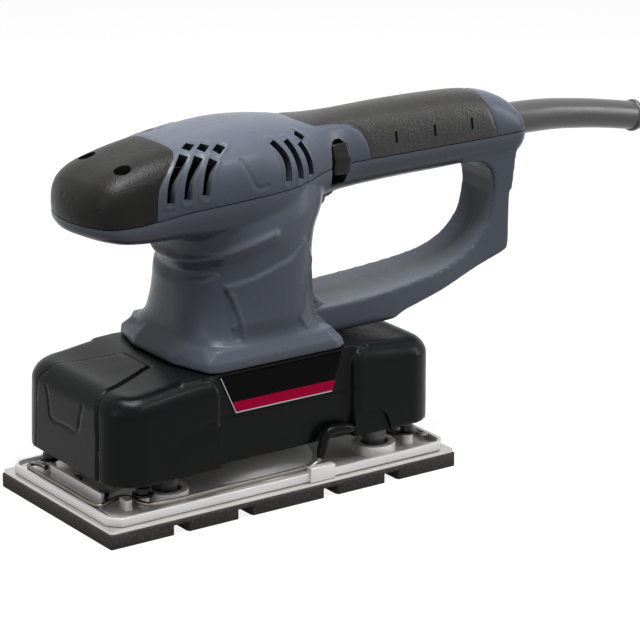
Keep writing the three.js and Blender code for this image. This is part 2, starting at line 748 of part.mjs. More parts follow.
// The eccentric pin and the balance weight opposite it are one piece on the shaft's end.
function counterweight() {
  const collar = rod(13, BALANCE.low, BALANCE.high, 0, 0, 20);
  const weight = sector(8, 29, 115, 245, BALANCE.low + 2, BALANCE.high - 1);
  const pin = rod(PIN_RADIUS, 19.5, BALANCE.low + 1, ORBIT, 0, 20);
  return cut(join(collar, weight, pin), rod(SHAFT_RADIUS + 0.2, SHAFT_LOW - GAP, 60));
}

add('armature_shaft', armatureShaft(), STEEL);
add('armature_core', armatureCore(), LAMINATION);
add('winding_head_lower', windingHead(98.6, 105.7), COPPER);
add('winding_head_upper', windingHead(146.3, 154.5), COPPER);
add('commutator', commutator(), COPPER);
add('cooling_fan', coolingFan(), BLACK);
add('counterweight', counterweight(), STEEL);

// ---------------------------------------------------------------- platen

const CAST_LOW = FOAM_THICK + PLATE_THICK + 2 * GAP;
const CAST_DECK = CAST_LOW + CAST_FLOOR;
const PLATE_SCREWS = [[91, 14], [91, -14], [-91, 14], [-91, -14]];
const ALL_CLAMP_SCREWS = CLAMP_SCREWS.flatMap(([x, y]) => [[x, y], [-x, -y]]);
const ECCENTRIC = { outer: 16, low: 20, high: 31 };

function foamPad() {
  const pad = slab(roundedRectangle(PAD_LENGTH, PAD_WIDTH, 2), 0, FOAM_THICK, 3);
  const grooves = GROOVE_PLACES.map((x) => box(
    x - GROOVE_WIDTH / 2, x + GROOVE_WIDTH / 2, -80, 80, -1, FOAM_THICK - GROOVE_WEB,
  ));
  return cut(pad, ...grooves);
}

const plateScrewHoles = () => PLATE_SCREWS.map(([x, y]) => rod(2, 8, 20, x, y, 8));

function backingPlate() {
  const low = FOAM_THICK + GAP;
  const plan = roundedRectangle(PAD_LENGTH - 1, PAD_WIDTH - 1, 2);
  return cut(slab(plan, low, low + PLATE_THICK, 3), ...plateScrewHoles());
}

function onePlatenEnd(side) {
  const rib = box(-99.5, -97.3, -26, 28, CAST_DECK - 1, 19);
  const lug = box(-93, -89, -41, -34, CAST_DECK - 1, 18);
  const catchLug = box(15, 31, -58, -53.3, CAST_LOW, 18.5);
  const bosses = CLAMP_SCREWS.map(([x, y]) => rod(3.6, CAST_DECK - 1, 17.9, x, y, 16));
  const whole = join(rib, lug, catchLug, ...bosses);
  return side < 0 ? whole : whole.rotate(0, 0, 180);
}

function barChannel(side) {
  const channel = box(-108.2, -103.2, -40, 46, CAST_LOW - 1, CAST_DECK + 1);
  return side < 0 ? channel : channel.rotate(0, 0, 180);
}

function platenCasting() {
  const plan = outline([
    [-110, -49], [-104, -55.5], [104, -55.5], [110, -49], [110, 49], [104, 55.5], [-104, 55.5], [-110, 49],
  ]);
  const tray = slab(plan, CAST_LOW, CAST_RIM_TOP);
  const wellPlan = roundedRectangle(CAST_LENGTH - 2 * CAST_WALL, CAST_WIDTH - 2 * CAST_WALL, 7);
  const well = slab(wellPlan, CAST_DECK, 30);
  const dish = turned([
    [0, CAST_DECK - 1], [DISH_RADIUS, CAST_DECK - 1], [DISH_RADIUS, CAST_DECK], [DISH_RADIUS - 4, 16],
    [24, 22], [21, 32.5], [0, 32.5],
  ], 24);
  const seats = POSTS.map(([x, y]) => rod(12.3, CAST_DECK - 1, 17.9, x, y));
  const sockets = POSTS.map(([x, y]) => rod(POST_FOOT + GAP, SEAT_FLOOR, 30, x, y, 12));
  const pocket = rod(ECCENTRIC.outer + RUNNING, ECCENTRIC.low - GAP, 40, ORBIT, 0, 20);
  const pinRoom = rod(11, 18, 40, ORBIT, 0, 16);
  const screwHoles = ALL_CLAMP_SCREWS.map(([x, y]) => rod(2.2, 9, 30, x, y, 8));
  return cut(
    join(cut(tray, well), dish, ...seats, onePlatenEnd(-1), onePlatenEnd(1)),
    barChannel(-1),
    barChannel(1),
    ...sockets,
    pocket,
    pinRoom,
    ...screwHoles,
    ...plateScrewHoles(),
  );
}

const clampScrew = ([x, y]) => join(
  rod(6, 18.2, 19.4, x, y, 14),
  rod(3.8, 19.3, 22.4, x, y, 6),
  rod(2, 11, 18.4, x, y, 8),
);

const plateScrew = ([x, y]) => join(
  rod(3.4, CAST_DECK + GAP, CAST_DECK + 2.4, x, y, 10),
  rod(1.7, 8.6, CAST_DECK + 1, x, y, 8),
);

add('foam_pad', foamPad(), FOAM);
add('backing_plate', backingPlate(), ALUMINIUM);
add('platen_casting', platenCasting(), ALUMINIUM);
add('eccentric_bearing', bearingRing(ECCENTRIC, PIN_RADIUS, ORBIT), STEEL);
for (const [x, y] of ALL_CLAMP_SCREWS) {
  add(`clamp_screw_${cornerName(x, y)}`, clampScrew([x, y]), BLACK_METAL);
}
for (const [x, y] of PLATE_SCREWS) add(`plate_screw_${cornerName(x, y)}`, plateScrew([x, y]), BLACK_METAL);

// ---------------------------------------------------------------- paper clamps

// The spring wire: a stub under the far screw, the bar across the end, a jog behind the
// lug and under the near screw's washer, the arm along the side, and the lever.
const WIRE_ROUTE = [
  [-99.6, 32, 16], [-99.8, 38.5, 16], [-102, 42.3, 15.5], [-105, 41.5, 15], [-105.8, 36, 15],
  [-105.8, 0, 15], [-105.8, -28, 15], [-104.3, -33.2, 15], [-98, -31.6, 15.6], [-90, -30.4, 16.3],
  [PIVOT_X, -34, 16.5], [PIVOT_X, -42, 16.5], [-83, -49, 16.6], [-76, -51.6, 16.8], [-40, -51.8, 17],
  [10, -51.8, 17.2], [20.5, -51.8, 17.6], [24.8, -51.8, 20.5], [27, -51.8, 28], [28.6, -51.8, 32.5],
  [32, -51.8, 35.3], [38, -51.8, 35.6], [45.8, -51.8, 34.2],
].map((point) => new THREE.Vector3(...point));
const SLEEVE_FROM = 0.886;       // share of the wire's length where the sleeve begins

const wireCurve = new THREE.CatmullRomCurve3(WIRE_ROUTE, false, 'centripetal');

function sleeveCurve() {
  const count = 9;
  const points = Array.from({ length: count }, (_, i) => (
    wireCurve.getPointAt(SLEEVE_FROM + ((1 - SLEEVE_FROM) * i) / (count - 1))
  ));
  const last = points[count - 1];
  const before = points[count - 2];
  points.push(last.clone().add(last.clone().sub(before).setLength(1.2)));
  return new THREE.CatmullRomCurve3(points, false, 'centripetal');
}

for (const [name, turn] of [['front', 0], ['rear', Math.PI]]) {
  const clamp = new THREE.Group();
  clamp.rotation.z = turn;
  sander.add(clamp);
  add(`${name}_clamp_wire`, alongCurve(wireCurve, WIRE_RADIUS, 44, 6), SPRING_STEEL, clamp);
  const sleeve = alongCurve(sleeveCurve(), SLEEVE_RADIUS, 7, 6, WIRE_RADIUS + 0.6);
  add(`${name}_clamp_sleeve`, sleeve, BLACK, clamp);
}

export default sander;
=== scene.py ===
"""The looks of a half-sheet orbital sander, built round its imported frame.

Shapes are drawn in millimetres, +X from the nose to the cord and +Z up, and become metres when a piece
is made an object.
"""

import math

import bmesh
import bpy
from mathutils import Matrix, Vector, kdtree


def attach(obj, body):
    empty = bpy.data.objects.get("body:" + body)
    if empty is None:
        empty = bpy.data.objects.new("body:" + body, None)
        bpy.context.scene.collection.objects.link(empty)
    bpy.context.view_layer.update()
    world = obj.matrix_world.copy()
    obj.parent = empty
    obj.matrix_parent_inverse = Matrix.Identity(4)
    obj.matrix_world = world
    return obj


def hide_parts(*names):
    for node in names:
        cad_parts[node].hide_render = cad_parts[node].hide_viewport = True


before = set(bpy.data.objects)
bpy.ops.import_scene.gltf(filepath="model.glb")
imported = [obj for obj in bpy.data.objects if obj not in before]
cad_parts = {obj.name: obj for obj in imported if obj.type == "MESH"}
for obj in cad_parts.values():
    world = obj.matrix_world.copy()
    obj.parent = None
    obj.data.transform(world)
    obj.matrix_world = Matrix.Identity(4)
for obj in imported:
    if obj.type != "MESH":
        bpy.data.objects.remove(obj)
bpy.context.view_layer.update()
scene = bpy.context.scene

MM = 0.001
GAP = 0.4  # open joint between two moulded shells


# ---------------------------------------------------------------- materials


def linear(colour):
    """The linear colour of an sRGB hex value."""
    channels = [int(colour[i : i + 2], 16) / 255 for i in (1, 3, 5)]
    return [c / 12.92 if c <= 0.04045 else ((c + 0.055) / 1.055) ** 2.4 for c in channels] + [1.0]


def add_node(tree, kind, inputs=(), **settings):
    """Adds a shader node, sets it, and fills or links its inputs."""
    made = tree.nodes.new("ShaderNode" + kind)
    for name, value in settings.items():
        setattr(made, name, value)
    for name, value in dict(inputs).items():
        if isinstance(value, bpy.types.NodeSocket):
            tree.links.new(value, made.inputs[name])
        else:
            made.inputs[name].default_value = value
    return made


def new_material(name):
    """An empty material, its node tree and the place of a point on the object."""
    made = bpy.data.materials.new(name)
    made.use_nodes = True
    made.node_tree.nodes.clear()
    place = add_node(made.node_tree, "TexCoord").outputs["Object"]
    return made, made.node_tree, place


def close_material(made, surface):
    """Links a material's surface to its output."""
    add_node(made.node_tree, "OutputMaterial", {"Surface": surface})
    return made


def grained(made, colour, grain, grain_height, gloss_by, roughness, spread, settings):
    """Closes a material: its gloss varies about `roughness`, its grain stands `grain_height` millimetres."""
    tree = made.node_tree
    low, high = roughness - spread, roughness + spread
    gloss_range = {"From Min": 0.3, "From Max": 0.7, "To Min": low, "To Max": high}
    gloss = add_node(tree, "MapRange", {"Value": gloss_by.outputs["Fac"], **gloss_range})
    height = {"Strength": 1.0, "Distance": grain_height * MM, "Height": grain.outputs["Fac"]}
    bump = add_node(tree, "Bump", height)
    shader = add_node(tree, "BsdfPrincipled", {
        "Base Color": colour.outputs[2], "Roughness": gloss.outputs["Result"],
        "Normal": bump.outputs["Normal"], **settings,
    })
    return close_material(made, shader.outputs["BSDF"])


def moulded(name, colour, tint, roughness, grain_mm, grain_height, ior=1.46, level=0.5, spread=0.06):
    """A moulded polymer: an even colour with faint flow marks, and a spark-eroded grain from the tool."""
    made, tree, place = new_material(name)
    flow = add_node(tree, "TexNoise", {"Vector": place, "Scale": 38.0, "Detail": 3.0, "Roughness": 0.5})
    tints = {0: flow.outputs["Fac"], 6: linear(colour), 7: linear(tint)}
    body = add_node(tree, "Mix", tints, data_type="RGBA")
    pattern = {"Vector": place, "Scale": 1000.0 / grain_mm, "Detail": 2.5, "Roughness": 0.62}
    grain = add_node(tree, "TexNoise", pattern)
    handled = add_node(tree, "TexNoise", {"Vector": place, "Scale": 90.0, "Detail": 4.0, "Roughness": 0.6})
    settings = {"IOR": ior, "Specular IOR Level": level}
    return grained(made, body, grain, grain_height, handled, roughness, spread, settings)


def metal(name, colour, tint, roughness, grain_mm, grain_height, spread=0.08, stretch=(1, 1, 1)):
    """A bare or plated metal. `stretch` draws the grain out along an axis, as rolling or brushing does."""
    made, tree, place = new_material(name)
    drawn = add_node(tree, "Mapping", {"Vector": place, "Scale": stretch})
    broad = add_node(tree, "TexNoise", {"Vector": place, "Scale": 55.0, "Detail": 4.0, "Roughness": 0.55})
    tints = {0: broad.outputs["Fac"], 6: linear(colour), 7: linear(tint)}
    body = add_node(tree, "Mix", tints, data_type="RGBA")
    pattern = {"Vector": drawn.outputs["Vector"], "Scale": 1000.0 / grain_mm, "Detail": 3.0, "Roughness": 0.6}
    grain = add_node(tree, "TexNoise", pattern)
    return grained(made, body, grain, grain_height, grain, roughness, spread, {"Metallic": 1.0})


def closed_cell_foam(name, colour, fleck):
    """Cut closed-cell foam: opened cells about half a millimetre wide, paler walls between them."""
    made, tree, place = new_material(name)
    cells = add_node(tree, "TexVoronoi", {"Vector": place, "Scale": 1500.0, "Randomness": 1.0})
    specks = add_node(tree, "TexNoise", {"Vector": place, "Scale": 900.0, "Detail": 3.0, "Roughness": 0.7})
    fleck_range = {"From Min": 0.5, "From Max": 0.78, "To Min": 0.0, "To Max": 1.0}
    pale = add_node(tree, "MapRange", {"Value": specks.outputs["Fac"], **fleck_range})
    tints = {0: pale.outputs["Result"], 6: linear(colour), 7: linear(fleck)}
    body = add_node(tree, "Mix", tints, data_type="RGBA")
    depth = {"Strength": 1.0, "Distance": 0.25 * MM, "Height": cells.outputs["Distance"]}
    bump = add_node(tree, "Bump", depth)
    shader = add_node(tree, "BsdfPrincipled", {
        "Base Color": body.outputs[2], "Roughness": 0.95, "Specular IOR Level": 0.25,
        "Normal": bump.outputs["Normal"],
    })
    return close_material(made, shader.outputs["BSDF"])


# Glass-filled nylon, moulded in slate grey with a fine satin spark-eroded grain.
SLATE_NYLON = moulded("slate_nylon", "#484d58", "#4c515c", 0.3, 0.45, 0.02, level=0.2)
# Soft elastomer moulded over the nose: warm charcoal with a leathery grain that catches small lights.
NOSE_ELASTOMER = moulded("nose_elastomer", "#171616", "#1e1d1c", 0.34, 1.5, 0.24, level=0.13)
# The same elastomer on the grip, with a coarser pebble grain for hold.
GRIP_ELASTOMER = moulded("grip_elastomer", "#222121", "#2a2928", 0.34, 1.7, 0.34, level=0.4)
# Flexible PVC of the cord relief: dark, smooth and half glossy.
RELIEF_PVC = moulded("relief_pvc", "#39383a", "#403f40", 0.3, 0.6, 0.01, level=0.6)
# Black nylon of the skirt, satin with a fine even grain.
BLACK_NYLON = moulded("black_nylon", "#0b0c0d", "#0f1011", 0.28, 0.5, 0.02, level=0.1)
# Polished black acetal of the switch key.
SWITCH_ACETAL = moulded("switch_acetal", "#131314", "#181818", 0.26, 1.5, 0.004, level=0.2, spread=0.04)
# Polycarbonate film of the plate, printed black behind the face.
PLATE_FILM = moulded("plate_film", "#050505", "#070707", 0.3, 2.0, 0.003, level=0.04, spread=0.04)
# The same film where it is printed crimson.
CRIMSON_FILM = moulded("crimson_film", "#b3063c", "#a90537", 0.3, 2.0, 0.003, level=0.04, spread=0.04)
# Bright chromed edge of the plate.
BRIGHT_RIM = metal("bright_rim", "#a2a2a4", "#939395", 0.3, 0.6, 0.003)
# Pressure die-cast aluminium, bead blasted: pale, with a fine dull grain.
CAST_ALUMINIUM = metal("cast_aluminium", "#c3c2c0", "#b6b5b4", 0.6, 0.7, 0.03)
# Rolled aluminium sheet: brighter, with its grain drawn out along the sheet.
ROLLED_ALUMINIUM = metal("rolled_aluminium", "#c3c2be", "#b7b6b2", 0.36, 0.8, 0.01, stretch=(0.1, 1, 1))
# Closed-cell pad foam, cut with a hot knife.
PAD_FOAM = closed_cell_foam("pad_foam", "#3f3b39", "#66615d")
# Drawn spring wire, oiled.
SPRING_WIRE = metal("spring_wire", "#7d7872", "#67625c", 0.34, 0.5, 0.006)
# Dipped vinyl on the lever: glossy black.
LEVER_VINYL = moulded("lever_vinyl", "#0b0b0b", "#101010", 0.18, 2.0, 0.004, level=0.1, spread=0.04)
# Black oxide on steel screws.
BLACK_OXIDE = metal("black_oxide", "#303032", "#222224", 0.36, 0.6, 0.006)
# Ground steel of bearings and shaft.
GROUND_STEEL = metal("ground_steel", "#b9b9ba", "#a6a6a8", 0.24, 0.5, 0.003, stretch=(1, 1, 0.1))
# Varnished copper winding wire.
VARNISHED_COPPER = metal("varnished_copper", "#b4683a", "#9a5429", 0.36, 0.6, 0.03, stretch=(1, 1, 3))
# Stacked electrical sheet, its edges lightly rusted by varnish.
LAMINATED_STEEL = metal("laminated_steel", "#77797d", "#5f6165", 0.45, 0.5, 0.03, stretch=(0.1, 0.1, 6))
# Pressed carbon of the brushes.
PRESSED_CARBON = moulded("pressed_carbon", "#2b2b2c", "#343435", 0.6, 0.6, 0.03, level=0.3)
# Plain black nylon of the inner fittings.
FITTING_NYLON = moulded("fitting_nylon", "#1b1b1c", "#222223", 0.45, 0.7, 0.02, level=0.4)
# Cast polyurethane rubber of the flexible columns: smoke grey and glossy.
COLUMN_RUBBER = moulded("column_rubber", "#5c5c5e", "#676769", 0.3, 0.8, 0.01, level=0.5)


# ---------------------------------------------------------------- making meshes


def mesh_object(name, bm):
    """The bmesh, drawn in millimetres, as an object in metres at the origin."""
    bmesh.ops.scale(bm, vec=(MM, MM, MM), verts=bm.verts)
    mesh = bpy.data.meshes.new(name)
    bm.to_mesh(mesh)
    bm.free()
    made = bpy.data.objects.new(name, mesh)
    scene.collection.objects.link(made)
    return made


def absorb(bm, part):
    """Adds one bmesh to another and uses it up."""
    mesh = bpy.data.meshes.new("part")
    part.to_mesh(mesh)
    part.free()
    bm.from_mesh(mesh)
    bpy.data.meshes.remove(mesh)


def facing_out(bm):
    """Closes a bmesh's seams and turns its faces outwards."""
    bmesh.ops.remove_doubles(bm, verts=bm.verts, dist=1e-4)
    bmesh.ops.recalc_face_normals(bm, faces=bm.faces)
    return bm


def settle(made):
    """Replaces an object's mesh by what its modifiers make of it."""
    graph = bpy.context.evaluated_depsgraph_get()
    mesh = bpy.data.meshes.new_from_object(made.evaluated_get(graph))
    made.modifiers.clear()
    made.data = mesh
    return made


def combine(made, others, operation):
    """Joins, cuts or crosses an object with others, which are used up."""
    for other in others:
        step = made.modifiers.new("combine", "BOOLEAN")
        step.solver = "MANIFOLD"
        step.operation = operation
        step.object = other
    settle(made)
    for other in others:
        bpy.data.objects.remove(other)
    return made


SOFTENING = 0.5  # share of the way to its neighbours that a point moves in each round


def remesh(made, voxel, rounds):
    """Draws the object again as one even skin and softens it."""
    skin = made.modifiers.new("skin", "REMESH")
    skin.mode = "VOXEL"
    skin.voxel_size = voxel * MM
    soften = made.modifiers.new("soften", "SMOOTH")
    soften.factor = SOFTENING
    soften.iterations = rounds
    return settle(made)


def twin(made, name):
    """A second object with its own copy of the mesh."""
    copy = bpy.data.objects.new(name, made.data.copy())
    scene.collection.objects.link(copy)
    return copy


def finish_piece(made, material, body, nodes=(), crease=40):
    """Gives the piece its material, softens the shading between creases and hangs the piece on its body."""
    made.data.materials.clear()
    made.data.materials.append(material)
    made.data.shade_smooth()
    made.data.set_sharp_from_angle(angle=math.radians(crease))
    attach(made, body)
    if nodes:
        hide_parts(*nodes)
    return made


def round_edges(bm, edges, radius, segments):
    """Rounds some of a bmesh's edges."""
    bmesh.ops.bevel(
        bm, geom=list(edges), offset=radius, segments=segments, profile=0.5, affect="EDGES", material=-1
    )


def uprights(edges):
    """The edges that climb."""
    return [e for e in edges if abs(e.verts[0].co.z - e.verts[1].co.z) > 1]


def half_turn(bm):
    """Turns a bmesh to the opposite side and end of the tool."""
    bmesh.ops.rotate(bm, cent=(0, 0, 0), matrix=Matrix.Rotation(math.pi, 3, "Z"), verts=bm.verts)


def box_corners(bm, x0, x1, half, low, high):
    """Adds a box that reaches `half` to both sides, and gives its corners."""
    corners = bmesh.ops.create_cube(bm, size=1.0)["verts"]
    for vertex in corners:
        x, y, z = vertex.co
        vertex.co = ((x0 + x1) / 2 + x * (x1 - x0), y * 2 * half, (low + high) / 2 + z * (high - low))
    return corners


def round_steps(count):
    """Evenly spaced angles round a circle."""
    return [2 * math.pi * k / count for k in range(count)]


def heading(points, i):
    """The direction of a line of points at one of them."""
    return (points[min(i + 1, len(points) - 1)] - points[max(i - 1, 0)]).normalized()


def ring_edges(ring):
    """The edges that meet a ring's points."""
    return list({edge for vertex in ring for edge in vertex.link_edges})


def skin_over(bm, rings):
    """A skin bridged over a row of rings, each a list of points in the same order."""
    loops = []
    for points in rings:
        ring = bmesh.ops.create_circle(bm, segments=len(points), radius=1.0)["verts"]
        for vertex, point in zip(ring, points):
            vertex.co = point
        loops.append(ring_edges(ring))
    for near, far in zip(loops, loops[1:]):
        bmesh.ops.bridge_loops(bm, edges=near + far)
    bmesh.ops.contextual_create(bm, geom=loops[0])
    bmesh.ops.contextual_create(bm, geom=loops[-1])
    return bm


def prism(bm, low, high):
    """A solid between two outlines with the same number of corners."""
    corners = [bm.verts.new(point) for point in low]
    face = bm.faces.new(corners)
    grown = bmesh.ops.extrude_face_region(bm, geom=[face])["geom"]
    far = [item for item in grown if isinstance(item, bmesh.types.BMVert)]
    targets = {tuple(round(c, 4) for c in old): new for old, new in zip(low, high)}
    for vertex in far:
        vertex.co = targets[tuple(round(c, 4) for c in vertex.co)]
    return bm


def side_slab(outline, y0, y1):
    """A side view, drawn in X and Z, as thick as from y0 to y1."""
    bm = bmesh.new()
    prism(bm, [(x, y0, z) for x, z in outline], [(x, y1, z) for x, z in outline])
    return facing_out(bm)


def plan_slab(outline, z0, z1):
    """A plan, drawn in X and Y, raised from z0 to z1."""
    bm = bmesh.new()
    prism(bm, [(x, y, z0) for x, y in outline], [(x, y, z1) for x, y in outline])
    return facing_out(bm)


def block(x0, x1, y0, y1, z0, z1):
    """A square-edged block."""
    return plan_slab([(x0, y0), (x1, y0), (x1, y1), (x0, y1)], z0, z1)


def turned(profile, x=0.0, y=0.0, steps=48):
    """A turned solid from (radius, height) pairs that start and end on the axis."""
    bm = bmesh.new()
    line = [bm.verts.new((radius, 0, height)) for radius, height in profile]
    edges = [bm.edges.new(pair) for pair in zip(line, line[1:])]
    bmesh.ops.spin(
        bm, geom=line + edges, cent=(0, 0, 0), axis=(0, 0, 1), angle=2 * math.pi, steps=steps, use_merge=True
    )
    bmesh.ops.translate(bm, vec=(x, y, 0), verts=bm.verts)
    return facing_out(bm)


def rod(radius, z0, z1):
    """An upright round rod on the shaft's axis."""
    return turned([(0, z0), (radius, z0), (radius, z1), (0, z1)], steps=32)


def bent_bar(line, size, corners):
    """A round bar that follows a line of points; `size` is one radius, or one a point."""
    points = [Vector(p) for p in line]
    sizes = size if isinstance(size, (list, tuple)) else [size] * len(points)
    rings = []
    side = Vector((0, 0, 1))
    for i, point in enumerate(points):
        ahead = heading(points, i)
        side = (side - side.dot(ahead) * ahead).normalized()
        across = ahead.cross(side)
        rings.append([
            point + sizes[i] * math.cos(a) * across + sizes[i] * math.sin(a) * side
            for a in round_steps(corners)
        ])
    bm = bmesh.new()
    skin_over(bm, rings)
    return facing_out(bm)


def knots_of(points):
    """Points as vectors, with one more past each end."""
    knots = [Vector(p) for p in points]
    return [2 * knots[0] - knots[1], *knots, 2 * knots[-1] - knots[-2]]


def spline(points, per_span):
    """A smooth line through the points (Catmull-Rom)."""
    knots = knots_of(points)
    line = []
    for p0, p1, p2, p3 in zip(knots, knots[1:], knots[2:], knots[3:]):
        for k in range(per_span):
            t = k / per_span
            bend = (2 * p0 - 5 * p1 + 4 * p2 - p3) * t * t
            line.append(0.5 * (2 * p1 + (p2 - p0) * t + bend + (3 * p1 - p0 - 3 * p2 + p3) * t**3))
    return line + [knots[-2]]


def between(t, near, leave, far, arrive):
    """A point on the smooth curve from `near` to `far` that leaves and arrives at the given slopes."""
    return (
        (2 * t**3 - 3 * t**2 + 1) * near + (t**3 - 2 * t**2 + t) * leave
        + (3 * t**2 - 2 * t**3) * far + (t**3 - t**2) * arrive
    )


def blend_rows(rows, per_span):
    """More rows between the rows of a table, each column on a smooth curve."""
    table = []
    for i in range(len(rows) - 1):
        before, after = rows[max(i - 1, 0)], rows[min(i + 2, len(rows) - 1)]
        low, high = rows[i], rows[i + 1]
        span = high[0] - low[0]
        for k in range(per_span):
            t = k / per_span
            row = []
            for a, b, c, d in zip(before, low, high, after):
                start = (c - a) / (high[0] - before[0]) * span if before is not low else c - b
                end = (d - b) / (after[0] - low[0]) * span if after is not high else c - b
                row.append(between(t, b, start, c, end))
            table.append(row)
    return table + [list(rows[-1])]


def super_ring(power, corners):
    """Corners of a rounded ring: power 2 is an ellipse, larger is squarer."""
    ring = []
    for angle in round_steps(corners):
        along, across = math.cos(angle), math.sin(angle)
        ring.append(tuple(math.copysign(abs(reach) ** (2 / power), reach) for reach in (along, across)))
    return ring


def move_points(made, shift):
    """Moves each point of an object, in millimetres, by what `shift` says of its place and normal."""
    mesh = made.data
    normals = [Vector(v.normal) for v in mesh.vertices]
    for vertex, normal in zip(mesh.vertices, normals):
        vertex.co += MM * shift(vertex.co / MM, normal)
    mesh.update()
    return made


def ease(low, high, value):
    """Rises smoothly from 0 at `low` to 1 at `high`."""
    t = min(max((value - low) / (high - low), 0.0), 1.0)
    return t * t * (3 - 2 * t)


def near_line(points, per_span=60, flat=None):
    """Distance of a point to a smooth line; `flat` leaves out one axis, as a view along it does."""

    def drop(point):
        """The point with its flat coordinate left out."""
        point = Vector(point)
        if flat is not None:
            point[flat] = 0
        return point

    line = spline([drop(p) for p in points], per_span)
    tree = kdtree.KDTree(len(line))
    for index, point in enumerate(line):
        tree.insert(point, index)
    tree.balance()
    return lambda point: tree.find(drop(point))[2]


def side_line(points):
    """Distance to a smooth line drawn in X and Z, whatever the side."""
    return near_line([(x, 0, z) for x, z in points], flat=1)


def inside(outline, x, y):
    """Whether a point lies within an outline."""
    within = False
    for (x0, y0), (x1, y1) in zip(outline, outline[1:] + outline[:1]):
        if (y0 > y) != (y1 > y) and x < (x1 - x0) * (y - y0) / (y1 - y0) + x0:
            within = not within
    return within


def hill(distance, width):
    """A smooth bump that is 1 in the middle and fades over about `width`."""
    return math.exp(-((distance / width) ** 2))


# ---------------------------------------------------------------- camera, light and floor

CAMERA_PLACE = (-0.91311, -1.40936, 0.63071)
CAMERA_RIGHT = Vector((0.8227, -0.5685, 0.0)).normalized()
CAMERA_UP = Vector((0.1739, 0.2516, 0.9521)).normalized()

camera_data = bpy.data.cameras.new("camera")
camera_data.sensor_width = 36.0
camera_data.lens = 180.15
camera_data.clip_end = 50.0
camera = bpy.data.objects.new("camera", camera_data)
scene.collection.objects.link(camera)
camera_axes = Matrix((CAMERA_RIGHT, CAMERA_UP, CAMERA_RIGHT.cross(CAMERA_UP))).transposed()
camera.matrix_world = Matrix.Translation(CAMERA_PLACE) @ camera_axes.to_4x4()
scene.camera = camera

scene.view_settings.view_transform = "Standard"

MIDDLE = (0.06, 0.0, 0.1)  # where the lamps face


def seen_direct(tree):
    """1 for rays that see the surroundings as background: straight, in gloss or through glass."""
    path = add_node(tree, "LightPath").outputs
    direct = {0: path["Is Camera Ray"], 1: path["Is Glossy Ray"]}
    first = add_node(tree, "Math", direct, operation="MAXIMUM").outputs[0]
    return add_node(tree, "Math", {0: first, 1: path["Is Transmission Ray"]}, operation="MAXIMUM").outputs[0]


world = bpy.data.worlds.new("studio")
scene.world = world
world.use_nodes = True
world.node_tree.nodes.clear()
white_sky = add_node(world.node_tree, "Background", {"Color": (1, 1, 1, 1), "Strength": 1.0})
soft_sky = add_node(world.node_tree, "Background", {"Color": (1, 1, 1, 1), "Strength": 0.09})
skies = {0: seen_direct(world.node_tree), 1: soft_sky.outputs[0], 2: white_sky.outputs[0]}
sky = add_node(world.node_tree, "MixShader", skies)
add_node(world.node_tree, "OutputWorld", {"Surface": sky.outputs[0]})


def softbox(name, place, size, watts):
    """A rectangular lamp, size in metres, that faces the middle of the tool."""
    lamp = bpy.data.lights.new(name, "AREA")
    lamp.shape = "RECTANGLE"
    lamp.size, lamp.size_y = size
    lamp.energy = watts
    made = bpy.data.objects.new(name, lamp)
    scene.collection.objects.link(made)
    made.location = place
    made.rotation_mode = "QUATERNION"
    made.rotation_quaternion = (Vector(place) - Vector(MIDDLE)).to_track_quat("Z", "Y")


softbox("overhead", (-0.05, -0.02, 1.25), (0.75, 0.5), 23)
softbox("crest", (-0.3, -0.15, 1.25), (0.5, 0.07), 5)
softbox("near_top", (0.35, -0.7, 1.05), (0.6, 0.12), 3.4)
softbox("left_strip", (-1.3, -0.1, 0.65), (0.3, 0.8), 2.2)
softbox("right_strip", (1.15, -0.6, 0.5), (0.25, 0.8), 5)

FLOOR_HALF = 6000
floor_bm = bmesh.new()
bmesh.ops.create_grid(floor_bm, x_segments=1, y_segments=1, size=FLOOR_HALF)
floor = mesh_object("floor", floor_bm)
# Matt pale card under the sander; seen straight or in gloss it is as white as the surroundings.
card, card_tree, card_place = new_material("pale_card")
fibre = add_node(card_tree, "TexNoise", {"Vector": card_place, "Scale": 900.0, "Detail": 2.0})
tints = {0: fibre.outputs["Fac"], 6: linear("#727272"), 7: linear("#767676")}
card_colour = add_node(card_tree, "Mix", tints, data_type="RGBA")
card_face = add_node(card_tree, "BsdfDiffuse", {"Color": card_colour.outputs[2]})
card_glow = add_node(card_tree, "Emission", {"Color": (1, 1, 1, 1), "Strength": 0.87})
card_lift = add_node(card_tree, "AddShader", {0: card_face.outputs[0], 1: card_glow.outputs[0]})
card_faces = {0: seen_direct(card_tree), 1: card_face.outputs[0], 2: card_lift.outputs[0]}
card_mix = add_node(card_tree, "MixShader", card_faces)
close_material(card, card_mix.outputs[0])
floor.data.materials.append(card)


# ---------------------------------------------------------------- motor housing: the form

# Joint between the two housing halves, X and Z.
SEAM = [
    (-150, 165), (-75, 165), (-64, 166), (-43, 169), (-29, 170.2), (-10, 171.8), (20, 172.8), (48, 174),
    (70, 174.4), (330, 174.4),
]


def seam_height(x):
    """Height of the joint between the halves."""
    for (x0, z0), (x1, z1) in zip(SEAM, SEAM[1:]):
        if x <= x1:
            return z0 + (x - x0) / (x1 - x0) * (z1 - z0)
    return SEAM[-1][1]


